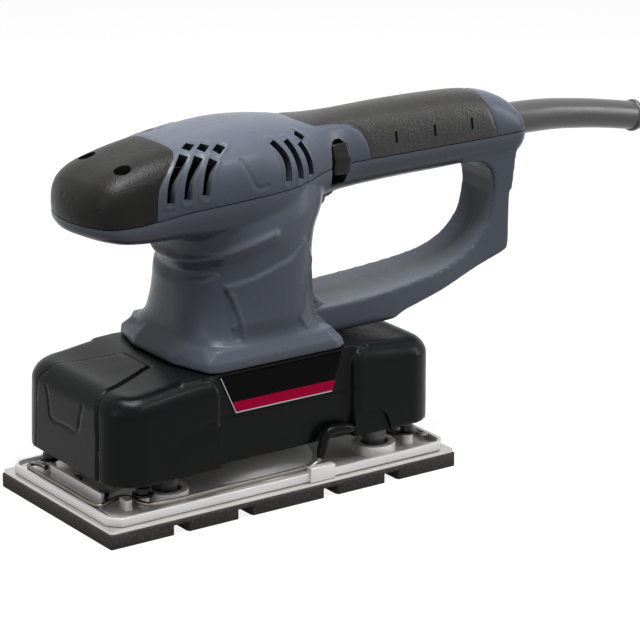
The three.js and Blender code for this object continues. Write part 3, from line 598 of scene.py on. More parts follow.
# Head and handle: X, lowest Z, highest Z, half width, squareness.
HEAD = [
    (-101.9, 162, 169.6, 4, 2.2),
    (-101.2, 159.8, 174.2, 10.4, 2.4),
    (-100, 158.8, 178, 15.4, 2.6),
    (-98, 158, 181.8, 21.4, 2.9),
    (-94.8, 156.8, 185.6, 27.8, 3.3),
    (-90, 155.3, 188.6, 31.4, 3.7),
    (-83, 153.4, 191.8, 32.8, 4),
    (-73, 151.8, 194.8, 33.2, 4),
    (-64, 151, 197.2, 33.8, 3.8),
    (-53, 150.4, 199.4, 35, 3.5),
    (-43, 149, 201.2, 36.8, 3.2),
    (-29, 147, 203, 39.4, 3),
    (-10, 145.5, 204.6, 41.6, 2.9),
    (5, 145, 205.2, 41, 2.8),
    (20, 147, 204.6, 38, 2.6),
    (35, 150, 202.8, 31.5, 2.5),
    (48, 152.6, 201.8, 24.5, 2.4),
    (58, 155, 201.6, 20.5, 2.4),
    (70, 156.6, 201.6, 18.4, 2.4),
    (100, 157.8, 202.2, 18.2, 2.4),
    (140, 158.2, 201.6, 18.2, 2.4),
    (160, 158.6, 200.2, 18.2, 2.4),
    (173, 158.2, 197.6, 18, 2.4),
    (183, 158, 193.2, 17.4, 2.5),
    (190, 159.4, 187.6, 16.4, 2.6),
    (194.5, 163, 182.4, 13.5, 2.6),
]

# Neck: Z, centre X, half length, half width, squareness.
NECK = [
    (86, -0.5, 42.5, 44.6, 4.6),
    (92, -0.5, 41.7, 44.0, 4.2),
    (96, 0, 41.3, 43.2, 3.2),
    (103, 1, 41.6, 42.8, 2.7),
    (114, 2, 41.8, 42.6, 2.4),
    (132, 2.4, 41.4, 42.6, 2.3),
    (146, 3, 43, 42.6, 2.3),
    (156, 4, 47.5, 41.5, 2.3),
    (164, 4, 49, 39.5, 2.4),
    (172, 3, 47, 38, 2.5),
]

# The flange at the neck's foot: three plans, at its bottom, its shoulder and its upper crease.
FLANGE_PLANS = [
    (80.8, [(-50.2, -20), (-43, -45.6), (-36.4, -48.4), (40, -48.6), (46.5, -45), (49.5, -19)]),
    (85.6, [(-49, -19.6), (-42.2, -45), (-35.8, -47.8), (38.5, -48), (45, -44), (48.4, -18.6)]),
    (92.0, [(-43.2, -17.4), (-41.2, -35.6), (-34.4, -44.4), (34.5, -44.4), (39.5, -41), (43, -17)]),
]

# The lower limbs of the D: rim X and Z, underside X and Z, half width.
LIMB = [
    (14, 96.5, 14, 80.8, 25),
    (56, 96.5, 56, 80.8, 25),
    (78, 97.3, 80, 80.8, 24.8),
    (91, 98.2, 95.5, 80.8, 24.3),
    (95, 98.5, 99.6, 82.4, 24),
    (99, 98.9, 104.4, 84.2, 23.6),
    (108, 99.8, 114, 86.4, 22.9),
    (126, 102, 132, 90.6, 21.2),
    (140, 105, 147, 95.0, 19),
    (150, 108.8, 159, 98.8, 17.6),
    (158, 114, 169, 101.6, 16.8),
    (165, 121, 180.2, 105.2, 16.3),
    (168.4, 128, 182.2, 109.6, 16),
    (170.5, 137, 182.4, 126, 16),
    (171.4, 146, 183.2, 141, 16),
    (171.6, 156, 184.8, 155, 16),
    (171, 166, 189, 164, 16),
]
LIMB_CORNER = 2.6  # rounding of its lower edges
LIMB_SCOOP = 0.7  # depth of the hollow between its rims

# Side views of the solid corners that close the hand opening, in front and behind.
PILLAR = [
    (14, 90), (53.9, 95), (50.4, 97.6), (45.8, 101.2), (44.2, 107), (43.8, 126), (44.2, 139),
    (45.4, 146), (48.4, 151.4), (53, 155), (60, 157.4), (67, 158.4),
]
# Half width of each layer of the pillar, and how far back it runs under the grip.
PILLAR_LAYERS = [(17, 54), (15.4, 57), (13.6, 60.5), (11.4, 64), (9, 68)]
GUSSET = [
    (171.2, 141), (170.9, 148), (169, 154.2), (164.6, 158.8), (157.6, 161), (146, 161.6),
    (152, 172), (188, 172), (184, 141),
]
PILLAR_TOP = 172
GUSSET_HALF = 16.0
RING_CORNERS = 72
HOUSING_VOXEL = 0.9


def head_rings(inset, corners, first=0, last=len(HEAD)):
    """Sections of the head and handle, `inset` inside their skin."""
    rings = []
    for x, low, high, half, power in blend_rows(HEAD[first:last], 4):
        seam = seam_height(x)
        across, up, down = (max(reach - inset, 2) for reach in (half, high - seam, seam - low))
        ring = super_ring(power, corners)
        rings.append([(x, across * u, seam + v * (up if v > 0 else down)) for u, v in ring])
    return rings


def neck_rings(inset, corners):
    """Sections of the neck, `inset` inside its skin."""
    return [
        [(middle + (long - inset) * u, (wide - inset) * v, z) for u, v in super_ring(power, corners)]
        for z, middle, long, wide, power in blend_rows(NECK, 4)
    ]


def limb_ring(rim_x, rim_z, under_x, under_z, half):
    """A section of the limb: a shallow scoop between two crisp rims, and rounded lower corners."""
    depth = math.hypot(under_x - rim_x, under_z - rim_z)
    corner = LIMB_CORNER / depth
    scoop = LIMB_SCOOP / depth
    side = [(half, 0.0), (half, 1 - corner)]
    side += [
        (half - LIMB_CORNER * (1 - math.cos(a)), 1 - corner * (1 - math.sin(a)))
        for a in round_steps(16)[1:5]
    ]
    middle = [(-half * share, scoop * (1 - share * share)) for share in (0.6, 0.0, -0.6)]
    ring = middle + side + [(-y, depth_share) for y, depth_share in reversed(side)]
    return [
        (rim_x + (under_x - rim_x) * share, y, rim_z + (under_z - rim_z) * share)
        for y, share in ring
    ]


def housing_form():
    """Head, handle, neck, flange and lower limbs as one even skin."""
    bm = bmesh.new()
    skin_over(bm, head_rings(0, RING_CORNERS))
    skin_over(bm, neck_rings(0, RING_CORNERS))
    for (low, low_plan), (high, high_plan) in zip(FLANGE_PLANS, FLANGE_PLANS[1:]):
        corners = [
            [(x, y, z) for x, y in plan] + [(x, -y, z) for x, y in reversed(plan)]
            for z, plan in ((low, low_plan), (high, high_plan))
        ]
        skin_over(bm, corners)
    skin_over(bm, [limb_ring(*row) for row in blend_rows(LIMB, 3)])
    layers = [(GUSSET, GUSSET_HALF)]
    for half, reach in PILLAR_LAYERS:
        side_view = [(x, z) for x, z in PILLAR if x < reach]
        layers.append((side_view + [(reach, PILLAR_TOP), (PILLAR[0][0], PILLAR_TOP)], half))
    for outline, half in layers:
        prism(bm, [(x, -half, z) for x, z in outline], [(x, half, z) for x, z in outline])
    bmesh.ops.recalc_face_normals(bm, faces=bm.faces)
    return remesh(mesh_object("housing_form", bm), HOUSING_VOXEL, 4)


# ---------------------------------------------------------------- motor housing: folds

SLOT_WIDTH = 4.7
# Cooling slots on the near side, each as the line that its middle follows.
SLOTS = [
    [
        (-58.1, -32.2, 174.6), (-57.2, -31.4, 181), (-55, -30.5, 186), (-51, -29.2, 190.6),
        (-47.1, -27.3, 194.4), (-44.1, -25.1, 197),
    ],
    [(-41, -22.2, 199.2), (-35.6, -19, 201.2)],
    [
        (-48.2, -34.6, 175.6), (-47.2, -34, 181.4), (-45.3, -33.1, 186.4), (-42.3, -31.9, 190.6),
        (-37.2, -28.8, 195.9),
    ],
    [(-34, -26.2, 198.5), (-29.2, -23.2, 200.5)],
    [
        (-37.9, -37.3, 176.8), (-36.6, -36.5, 183.1), (-34.8, -35.3, 188.1), (-32.1, -33.6, 192.2),
        (-30.1, -32.4, 194.2),
    ],
    [(-26.8, -30, 197.2), (-21.6, -27.2, 199.8)],
    [(13.2, -39.2, 177), (13.6, -38, 184), (12.4, -35, 190.4), (7.6, -29.6, 197)],
    [(23.2, -36.4, 176), (22.6, -35.6, 183), (20.6, -33, 190), (17.6, -28, 196)],
    [(32.8, -32.8, 176), (32, -32, 182.4), (30.2, -30.4, 188), (27, -27.4, 193.6)],
    [(32.2, -25.4, 194.8), (27.6, -23, 198.4)],
]
RIM_LINES = [near_line(line, 24) for line in SLOTS]

# Lines of the moulding, drawn on the near side and repeated on the far side.
BROW = near_line([
    (-39.6, 6.9, 136.6), (-39.6, -6.2, 135.4), (-37.9, -15.4, 135.9), (-34.1, -24.1, 137.2),
    (-28.9, -31.2, 139.7), (-21.5, -36.6, 142.6), (-13.5, -40, 145.4), (-5, -41.6, 147.9),
    (2.4, -42.1, 149.9),
])
BROW_HOLLOW = near_line([
    (-39.1, 12.4, 126.1), (-39.9, -3.3, 127.9), (-38.3, -14, 128.7), (-33.9, -24.1, 130.3),
    (-29.1, -30.4, 132.8),
])
PANEL = [
    (-25.3, 124.5), (-15.6, 127), (-7.1, 129.7), (1.9, 132.8), (13.3, 136.2), (24, 144), (30, 131.6),
    (25.4, 119.6), (22.6, 109), (19, 101.7), (22, 96), (-23, 93), (-23.1, 104.7), (-23.9, 116.5),
]
PANEL_EDGE = side_line(PANEL + PANEL[:1])
PANEL_RIB = side_line([(-22, 119.5), (-19.6, 109.8), (-18.2, 102.1), (-18.3, 96.4)])
REAR_RIDGE = side_line([(30, 131.6), (25.4, 119.6), (22.6, 109.1), (18.9, 101.7), (22, 97.3), (24.1, 94.5)])
HEAD_CREASES = [
    near_line([(-15.3, -36.6, 192.8), (-12.4, -39.6, 186), (-7.9, -41.6, 177.5), (-1.3, -41.1, 177.7)]),
    near_line([(-99.2, -5.6, 178), (-97, -10, 175.4), (-96.4, -12.5, 175.2), (-95, -10.5, 181.9)]),
]
# Edges of the nose cover and of the grip cover, X and Z.
CAP_EDGE = [
    (-66, 150), (-66, 167), (-65.4, 178), (-64, 183.4), (-61, 187.4), (-56, 192.4), (-47.6, 198.6),
    (-46.6, 212),
]
GRIP_EDGE_FRONT = [
    (33, 212), (34.6, 204), (39, 201.4), (48, 197.6), (61, 196.6), (71, 195), (77.7, 190.2),
    (81.6, 182.6), (83.4, 175), (84, 150),
]
GRIP_EDGE_REAR = [(171, 150), (171, 176), (169.6, 182), (167.4, 189.7), (163.9, 197.5), (158, 212)]
CAP_LINE = side_line(CAP_EDGE)
GRIP_LINES = [side_line(GRIP_EDGE_FRONT), side_line(GRIP_EDGE_REAR)]


def mould_folds(place, normal):
    """How far the skin stands in or out of its plain form."""
    side = Vector((place.x, -abs(place.y), place.z))
    rise = 0.0
    if 90 < place.z < 156 and place.x < 40:
        rise += 1.9 * hill(BROW(side), 2.6)
        rise -= 2.2 * hill(BROW_HOLLOW(side), 3.8)
        if abs(place.y) > 24:
            edge = PANEL_EDGE(side) * (1 if inside(PANEL, place.x, place.z) else -1)
            rise += 1.5 * ease(-1.2, 1.6, edge) * ease(95, 104, place.z)
            beside = side + Vector((2.4, 0, 0))
            rise += 0.8 * hill(PANEL_RIB(side), 1.1) - 0.8 * hill(PANEL_RIB(beside), 1.4)
            rise += 1.0 * hill(REAR_RIDGE(side), 1.8)
    if place.z > 175 and place.x < 0:
        rise -= 0.5 * sum(hill(crease(side), 1.1) for crease in HEAD_CREASES)
    if place.z > 172 and abs(place.x) < 62 and abs(place.y) > 16:
        rise += 0.4 * hill(min(rim(side) for rim in RIM_LINES) - SLOT_WIDTH / 2 - 1.1, 0.8)
    return normal * rise


def ease_joints(place, normal):
    """Rolls the skin in a little where one shell meets the next."""
    if place.z < 160:
        return normal * 0
    to_seam = abs(place.z - seam_height(place.x))
    roll = 0.28 * hill(to_seam, 1.4) if place.x < 195 else 0.0
    if place.z > seam_height(place.x):
        to_grip = min(line(place) for line in GRIP_LINES)
        roll += 0.28 * hill(CAP_LINE(place), 1.3) + 0.34 * hill(to_grip, 1.4)
    return normal * -roll


# ---------------------------------------------------------------- motor housing: cutters

SHELL_WALL = 2.9
GRIP_THICK = 2.2
JOINT_HALF = 0.28  # each half stops this far from the joint
COVER_GAP = 0.35  # round the nose cover and the grip cover
NOSE_SCREWS = [(-77.5, -18), (-77.5, 18)]
HANDLE_SCREW = (180, 0)
SWITCH_SLOT = [
    (54.0, 163.2), (54.0, 185.4), (55.4, 188.2), (58, 189.6), (61.6, 189.2), (65, 186.6), (67.3, 182),
    (67.9, 176.4), (67.0, 170), (65.2, 163.2),
]
GRIP_NOTCHES = (100.3, 127.0, 153.0)
CORE_CORNERS = 40


def side_region(name, outline):
    """All that a side view covers, through the whole width of the tool."""
    return mesh_object(name, side_slab(outline, -100, 100))


def beyond_joint(shift, limit):
    """All that lies past the joint, up or down to `limit`."""
    line = [(x, z + shift) for x, z in SEAM]
    return side_region("beyond_joint", line + [(330, limit), (-150, limit)])


def cap_region(shift):
    """The nose cover's share, `shift` larger."""
    return side_region("cap_region", [(-150, 150), *((x + shift, z) for x, z in CAP_EDGE), (-150, 212)])


def grip_region(shift):
    """The grip cover's share, `shift` larger at each end."""
    front = [(x - shift, z) for x, z in GRIP_EDGE_FRONT]
    rear = [(x + shift, z) for x, z in GRIP_EDGE_REAR]
    return side_region("grip_region", front + rear)


def skinned(name, rings):
    """An object skinned over a row of rings."""
    bm = bmesh.new()
    skin_over(bm, rings)
    return mesh_object(name, facing_out(bm))


def head_core(inset):
    """The head and handle, `inset` smaller."""
    return skinned("head_core", head_rings(inset, CORE_CORNERS))


def head_hollow():
    """The room inside the head, closed short of the tail."""
    return skinned("head_hollow", head_rings(SHELL_WALL + GRIP_THICK, 32, 5, len(HEAD) - 3))


def neck_hollow():
    """The room inside the neck, open below."""
    rings = neck_rings(SHELL_WALL + 0.4, CORE_CORNERS)
    low = [(x * 0.96, y * 0.94, 70) for x, y, _ in rings[0]]
    return skinned("neck_hollow", [low, *rings])


def peg(radius, low, high, places):
    """Upright round pegs at some places."""
    bm = bmesh.new()
    ring = [(radius * math.cos(a), radius * math.sin(a)) for a in round_steps(32)]
    for x, y in places:
        prism(bm, [(x + u, y + v, low) for u, v in ring], [(x + u, y + v, high) for u, v in ring])
    return mesh_object("peg", facing_out(bm))


def slot_cutter(line, mirror):
    """A blade that follows the slot's line and reaches through the wall."""
    points = spline(line, 5)
    rings = []
    for i, point in enumerate(points):
        ahead = heading(points, i)
        out = Vector((0, point.y, (point.z - 172) * 1.1))
        out = (out - out.dot(ahead) * ahead).normalized()
        across = ahead.cross(out)
        half = SLOT_WIDTH / 2
        rings.append([point + across * a * half + out * b for a, b in ((-1, 4), (1, 4), (1, -9), (-1, -9))])
    bm = bmesh.new()
    skin_over(bm, rings)
    if mirror:
        bmesh.ops.scale(bm, vec=(1, -1, 1), verts=bm.verts)
    return mesh_object("slot", facing_out(bm))


def switch_opening():
    """The window in the near side where the key rocks."""
    return mesh_object("switch_opening", side_slab(SWITCH_SLOT, -40, -6))


# ---------------------------------------------------------------- cord relief

RELIEF_LINE = [(190, 177.8), (204, 177.5), (223, 176.5), (243, 174.1), (260, 171.5), (287, 166.4)]
RELIEF_SIZES = (9.5, 9.5, 9.1, 8.8, 8.6, 8.5)


def relief_tube(grow=0.0):
    """The drooping barrel of the relief, from inside the handle to its mouth."""
    rows = [(x, z, size + grow) for (x, z), size in zip(RELIEF_LINE, RELIEF_SIZES)]
    rows = blend_rows([(184, 177.8, rows[0][2]), *rows], 4)
    return skinned("relief_tube", [
        [(x, size * math.cos(a), z + size * math.sin(a)) for a in round_steps(CORE_CORNERS)]
        for x, z, size in rows
    ])


def turned_along(profile, place, tilt, name):
    """A turned ring whose axis runs along the cord: `tilt` is its droop in degrees."""
    bm = turned(profile, steps=48)
    lean = Matrix.Rotation(math.radians(90 + tilt), 3, "Y")
    bmesh.ops.rotate(bm, cent=(0, 0, 0), matrix=lean, verts=bm.verts)
    bmesh.ops.translate(bm, vec=place, verts=bm.verts)
    return mesh_object(name, facing_out(bm))


def cord_relief():
    """A flexible sleeve: a collar at the housing, a plain drooping barrel and a rolled lip at its mouth."""
    made = relief_tube()
    collar = turned_along(
        [(0, 0), (10.0, 0), (10.6, 0.6), (10.6, 2.0), (10.0, 2.6), (0, 2.6)], (186.2, 0, 177), 0, "collar"
    )
    lip = turned_along(
        [(0, -1.6), (8.7, -1.6), (9.3, -1.1), (9.5, -0.4), (9.5, 0.6), (9.2, 1.2), (8.7, 1.6), (0, 1.6)],
        (285, 0, 166.8), 10, "lip",
    )
    combine(made, [collar, lip], "UNION")
    mouth = turned_along(
        [(0, -14), (3.8, -14), (3.8, 1), (4.6, 3), (6, 9), (0, 9)], (286, 0, 166.6), 10, "mouth"
    )
    return combine(made, [mouth], "DIFFERENCE")


# ---------------------------------------------------------------- motor housing: the pieces


def build_housing():
    """Cuts the form into its shells and covers, and hollows each."""
    form = move_points(move_points(housing_form(), mould_folds), ease_joints)

    lower = combine(twin(form, "lower_shell"), [beyond_joint(-JOINT_HALF, 40)], "INTERSECT")
    combine(lower, [head_hollow(), neck_hollow(), relief_tube(GAP), switch_opening()], "DIFFERENCE")
    finish_piece(lower, SLATE_NYLON, "housing", ["lower_housing"], 38)

    upper_half = combine(twin(form, "upper_half"), [beyond_joint(JOINT_HALF, 260)], "INTERSECT")
    upper = combine(twin(upper_half, "upper_shell"), [head_hollow()], "DIFFERENCE")
    combine(upper, [peg(5.5, 175.2, 191, [HANDLE_SCREW])], "UNION")
    grip_bed = combine(grip_region(COVER_GAP), [head_core(GRIP_THICK + 0.3)], "DIFFERENCE")
    cutters = [slot_cutter(line, mirror) for line in SLOTS for mirror in (False, True)]
    cutters += [cap_region(COVER_GAP), grip_bed, switch_opening(), relief_tube(GAP)]
    combine(upper, [*cutters, peg(4.6, 185, 210, [HANDLE_SCREW])], "DIFFERENCE")
    finish_piece(upper, SLATE_NYLON, "housing", ["upper_housing"], 38)

    cap = combine(twin(upper_half, "nose_cover"), [cap_region(0)], "INTERSECT")
    combine(cap, [head_hollow()], "DIFFERENCE")
    combine(cap, [peg(6.5, 165.6, 189, NOSE_SCREWS)], "UNION")
    combine(cap, [peg(4.7, 183, 215, NOSE_SCREWS)], "DIFFERENCE")
    finish_piece(cap, NOSE_ELASTOMER, "housing", ["nose_cap"], 38)

    grip = combine(upper_half, [grip_region(0)], "INTERSECT")
    grip.name = "grip_cover"
    notches = [
        mesh_object("notch", block(x - 0.8, x + 0.8, side * 17.2 - 1.6, side * 17.2 + 1.6, 181, 187.5))
        for x in GRIP_NOTCHES
        for side in (-1, 1)
    ]
    combine(grip, [head_core(GRIP_THICK), switch_opening(), *notches], "DIFFERENCE")
    finish_piece(grip, GRIP_ELASTOMER, "housing", ["handle_grip"], 38)

    bpy.data.objects.remove(form)
    relief = cord_relief()
    finish_piece(relief, RELIEF_PVC, "housing", ["cord_boot"], 40)
    relief.name = "relief_sleeve"


build_housing()


# ---------------------------------------------------------------- skirt cover

SKIRT_LOW = 28.5
SKIRT_HIGH = 80.0
SKIRT_END = 105.0
SKIRT_HALF = 53.0
WAIST_HALF = 47.3
WAIST = (-38.0, 48.0)  # where the front box ends and the rear box starts
SKIRT_WALL = 2.6
PANEL_PROUD = 0.85
FRONT_ROUND, REAR_ROUND, WAIST_ROUND, TOP_ROUND = 20, 18, 4.5, 11
HOLLOW_LOW, HOLLOW_HIGH = 15, 75
HOLLOW_ROUND, HOLLOW_TOP_ROUND = 21, 10
SKIRT_VOXEL = 0.95


def rounded_block(bm, x0, x1, outer_x, outer):
    """One box of the skirt, its outer corners rounder than those at the waist."""
    corners = box_corners(bm, x0, x1, SKIRT_HALF, SKIRT_LOW, SKIRT_HIGH)
    upright = uprights([e for v in corners for e in v.link_edges])
    for at_outer, radius in ((True, outer), (False, WAIST_ROUND)):
        chosen = {e for e in upright if e.is_valid and (abs(e.verts[0].co.x - outer_x) < 0.01) == at_outer}
        round_edges(bm, chosen, radius, 8)
        upright = [e for e in upright if e.is_valid and e not in chosen]
    rim = [
        e for e in bm.edges
        if all(abs(v.co.z - SKIRT_HIGH) < 0.01 and x0 - 0.01 <= v.co.x <= x1 + 0.01 for v in e.verts)
        and len({f.normal.z > 0.9 for f in e.link_faces}) == 2
    ]
    round_edges(bm, rim, TOP_ROUND, 7)


def skirt_form():
    """Two boxes and the narrower waist between them, as one even skin."""
    bm = bmesh.new()
    boxes = ((-SKIRT_END, WAIST[0], -SKIRT_END, FRONT_ROUND), (WAIST[1], SKIRT_END, SKIRT_END, REAR_ROUND))
    for x0, x1, outer_x, outer in boxes:
        part = bmesh.new()
        rounded_block(part, x0, x1, outer_x, outer)
        bmesh.ops.recalc_face_normals(part, faces=part.faces)
        absorb(bm, part)
    box_corners(bm, -60, 60, WAIST_HALF, SKIRT_LOW, SKIRT_HIGH)
    return remesh(mesh_object("skirt_form", facing_out(bm)), SKIRT_VOXEL, 2)


def shoulder_fall(x):
    """How far the top of the skirt has fallen towards its ends."""
    return 3.5 * ease(0, 1, (abs(x) - 50) / 42) if abs(x) > 50 else 0.0


def panel_half(place):
    """Half width of the raised panel that runs over the front of the skirt."""
    if place.x > -97:
        return 13 + 14 * (-60 - place.x) / 37
    return 27 + 4 * ease(78, 70, place.z) + 1.0 * ease(70, 30, place.z)


# The U-shaped line on the front face.
FRONT_LINE = near_line([
    (0, -17, 69.7), (0, -14.2, 59), (0, -11.5, 51.2), (0, 2, 50.8), (0, 15.5, 51.2), (0, 18.2, 59),
    (0, 21, 69.7),
], flat=0)


def mould_skirt(place, normal):
    """The skirt's draft, fallen shoulders, raised front panel and moulded lines."""
    rise = 0.0
    shift = Vector((0, 0, -shoulder_fall(place.x) * ease(56, 76, place.z)))
    shift.x = 1.6 * (place.z - SKIRT_LOW) / 50 * ease(-62, -100, place.x)
    if place.x < -58 and place.z > SKIRT_LOW + 1:
        reach = panel_half(place) - abs(place.y)
        reach = min(reach, -60 - place.x) if place.x > -99 else reach
        rise += PANEL_PROUD * ease(-0.6, 0.6, reach) - 0.6 * hill(reach + 0.5, 0.7)
        if place.x < -99:
            rise -= 0.6 * hill(FRONT_LINE(place), 0.9)
    if abs(place.x) < 52 and abs(place.y) > 45 and abs(place.z - 56) < 4:
        rise -= 0.5 * hill(place.z - 56, 0.8)
    return normal * rise + shift


# The lever lies in a hollow of the front box, and passes through an arch of the rear one.
# Each has its curve, its two closing corners below, and its depth.
LEVER_ROOMS = [
    (
        [(-66, 26), (-70.8, 30.4), (-69.6, 40), (-65.5, 49.2), (-58, 52.4), (-45.9, 52.6), (-37, 52.6)],
        [(-37, 20), (-66, 20)], 1.7,
    ),
    ([(47, 42.8), (56, 42.8), (64, 42.2), (69, 38.4), (72, 31), (72.8, 26)], [(72.8, 20), (47, 20)], 1.5),
]


def lever_room(points, close, depth, way):
    """The room of the lever on the near side, or with `way` -1 on the far side and the other end."""
    curve = spline([(way * x, 0, z) for x, z in points], 6)
    outline = [(p.x, p.z) for p in curve] + [(way * x, z) for x, z in close]
    reach = -way * (SKIRT_HALF + 6), -way * (SKIRT_HALF - depth)
    return mesh_object("lever_room", side_slab(outline, min(reach), max(reach)))


def build_skirt():
    """Shapes the skirt and hollows it from below."""
    skirt = move_points(skirt_form(), mould_skirt)
    for way in (1, -1):
        for points, close, depth in LEVER_ROOMS:
            combine(skirt, [lever_room(points, close, depth, way)], "DIFFERENCE")
    inner = bmesh.new()
    end, half = SKIRT_END - SKIRT_WALL, SKIRT_HALF - SKIRT_WALL
    for x0, x1 in ((-end, WAIST[0] - SKIRT_WALL - 15), (WAIST[1] + SKIRT_WALL, end)):
        box_corners(inner, x0, x1, half, HOLLOW_LOW, HOLLOW_HIGH)
    outer = [e for e in uprights(inner.edges) if abs(abs(e.verts[0].co.x) - end) < 0.1]
    round_edges(inner, outer, HOLLOW_ROUND, 5)
    tops = [e for e in inner.edges if all(abs(v.co.z - HOLLOW_HIGH) < 0.01 for v in e.verts)]
    round_edges(inner, tops, HOLLOW_TOP_ROUND, 4)
    hollow = mesh_object("skirt_hollow", facing_out(inner))
    waist_room = block(-60, 60, -WAIST_HALF + SKIRT_WALL, WAIST_HALF - SKIRT_WALL, 0, 77.2)
    combine(skirt, [hollow, mesh_object("waist_room", waist_room)], "DIFFERENCE")
    combine(skirt, [mesh_object("skirt_bore", rod(39, 60, 95))], "DIFFERENCE")
    finish_piece(skirt, BLACK_NYLON, "housing", ["skirt_cover"], 38)
    skirt.name = "skirt_shell"


build_skirt()


# ---------------------------------------------------------------- plates on the waist

PLATE_LOW, BAND_LOW, BAND_TOP, PLATE_HIGH = 56.6, 57.3, 63.2, 78.2
PLATE_RIM = 0.55


def band_of(low, high, inset):
    """Corners of a slanting strip of the plate between two heights."""
    def ends(z):
        """Where the strip starts and stops at a height."""
        share = (z - 57) / 21
        return -27.6 - 9.4 * share + inset, 35.6 + 6.8 * share - 0.3 * inset

    (a, b), (c, d) = ends(low), ends(high)
    return [(a, low), (b, low), (d, high), (c, high)]


def build_plate(name, node, turned_round):
    """A bare black plate with a crimson band along its lower edge and a bright edge below and in front."""
    face = -WAIST_HALF - 0.3
    layers = [
        (band_of(BAND_TOP, PLATE_HIGH, PLATE_RIM), face - 0.8, face, PLATE_FILM),
        (band_of(BAND_LOW, BAND_TOP, PLATE_RIM), face - 0.8, face, CRIMSON_FILM),
        (band_of(PLATE_LOW, PLATE_HIGH, 0), face - 0.66, face - 0.1, BRIGHT_RIM),
    ]
    whole = bmesh.new()
    finishes = []
    for outline, y0, y1, material in layers:
        bm = side_slab(outline, y0, y1)
        round_edges(bm, [e for e in bm.edges if all(abs(v.co.y - y0) < 0.01 for v in e.verts)], 0.12, 2)
        if turned_round:
            half_turn(bm)
        for bm_face in bm.faces:
            bm_face.material_index = len(finishes)
        absorb(whole, bm)
        finishes.append(material)
    plate = mesh_object(name, whole)
    for material in finishes:
        plate.data.materials.append(material)
    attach(plate, "housing")
    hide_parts(node)


build_plate("plate_near", "nameplate_near", False)
build_plate("plate_far", "nameplate_far", True)


# ---------------------------------------------------------------- pieces that keep the frame's shape


def eased_copy(node, name, material, body, width, crease=30, segments=2):
    """A node's own solid with its sharp edges broken, as casting, pressing or turning leaves them."""
    bm = bmesh.new()
    bm.from_mesh(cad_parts[node].data)
    bmesh.ops.scale(bm, vec=(1000, 1000, 1000), verts=bm.verts)
    bmesh.ops.remove_doubles(bm, verts=bm.verts, dist=0.002)
    bmesh.ops.dissolve_limit(bm, angle_limit=math.radians(1.0), verts=bm.verts, edges=bm.edges)
    made = mesh_object(name, bm)
    step = made.modifiers.new("broken_edges", "BEVEL")
    step.width = width * MM
    step.segments = segments
    step.limit_method = "ANGLE"
    step.angle_limit = math.radians(crease)
    settle(made)
    return finish_piece(made, material, body, [node], 30)


eased_copy("platen_casting", "platen_tray", CAST_ALUMINIUM, "platen", 0.35)
eased_copy("backing_plate", "pad_plate", ROLLED_ALUMINIUM, "platen", 0.2)
key = eased_copy("switch_rocker", "switch_key", SWITCH_ACETAL, "rocker", 1.1, segments=4)
remesh(key, 0.5, 36)
CORNERS = ("front_near", "front_far", "rear_near", "rear_far")
FASTENERS = {
    f"{kind}_screw_{corner}": ("platen", edge)
    for corner in CORNERS
    for kind, edge in (("clamp", 0.3), ("plate", 0.25))
}
FASTENERS.update({name: ("housing", 0.25) for name in ("nose_screw_near", "nose_screw_far", "handle_screw")})
for screw, (body, edge) in FASTENERS.items():
    eased_copy(screw, screw.replace("screw", "fastener"), BLACK_OXIDE, body, edge)


# ---------------------------------------------------------------- flexible columns

COLUMN_RADIUS = 7.0
COLUMN_HEAD = 8.2
COLUMN_FOOT = 6.2  # it has room to sway in its seat


def build_column(corner):
    """A rubber column between frame and platen: a flange above, a waist and a slim foot in its seat."""
    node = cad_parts["support_column_" + corner]
    places = [node.matrix_world @ Vector(point) / MM for point in node.bound_box]
    x, y = sum(p.x for p in places) / 8, sum(p.y for p in places) / 8
    low, high = min(p.z for p in places), max(p.z for p in places)
    profile = [
        (0, low), (COLUMN_FOOT - 0.5, low), (COLUMN_FOOT, low + 0.5), (COLUMN_FOOT, low + 4.6),
        (COLUMN_RADIUS - 0.3, low + 5.4), (COLUMN_RADIUS, low + 6.4), (COLUMN_RADIUS, high - 6.5),
        (COLUMN_RADIUS + 0.3, high - 5.2), (COLUMN_HEAD, high - 3.6), (COLUMN_HEAD, high - 0.5),
        (COLUMN_HEAD - 0.5, high), (0, high),
    ]
    made = mesh_object("flexible_column_" + corner, turned(profile, x, y, 40))
    finish_piece(made, COLUMN_RUBBER, "housing", [node.name], 40)


for corner in CORNERS:
    build_column(corner)


# ---------------------------------------------------------------- foam pad

PAD_LENGTH, PAD_WIDTH, FOAM_THICK = 226.0, 117.0, 8.0
GROOVES = (-69.0, -28.0, 28.0, 69.0)
GROOVE_WIDTH = 8.0
GROOVE_WEB = 2.5


def build_pad():
    """The foam sole: one slab, sliced from below into five blocks."""
    end, edge = PAD_LENGTH / 2, PAD_WIDTH / 2
    bm = plan_slab([(-end, -edge), (end, -edge), (end, edge), (-end, edge)], 0, FOAM_THICK)
    round_edges(bm, uprights(bm.edges), 1.2, 3)
    pad = mesh_object("sanding_pad", facing_out(bm))
    knives = []
    half, flare = GROOVE_WIDTH / 2, GROOVE_WIDTH / 2 + 1.4
    for x in GROOVES:
        outline = [
            (x - flare, -edge - 1), (x + flare, -edge - 1), (x + half, -edge + 2), (x + half, edge - 2),
            (x + flare, edge + 1), (x - flare, edge + 1), (x - half, edge - 2), (x - half, -edge + 2),
        ]
        knives.append(mesh_object("knife", plan_slab(outline, -1, FOAM_THICK - GROOVE_WEB)))
    combine(pad, knives, "DIFFERENCE")
    rounding = pad.modifiers.new("rounding", "BEVEL")
    rounding.width = 0.35 * MM
    rounding.segments = 2
    rounding.limit_method = "ANGLE"
    settle(pad)
    finish_piece(pad, PAD_FOAM, "platen", ["foam_pad"], 30)


build_pad()


# ---------------------------------------------------------------- paper clamps

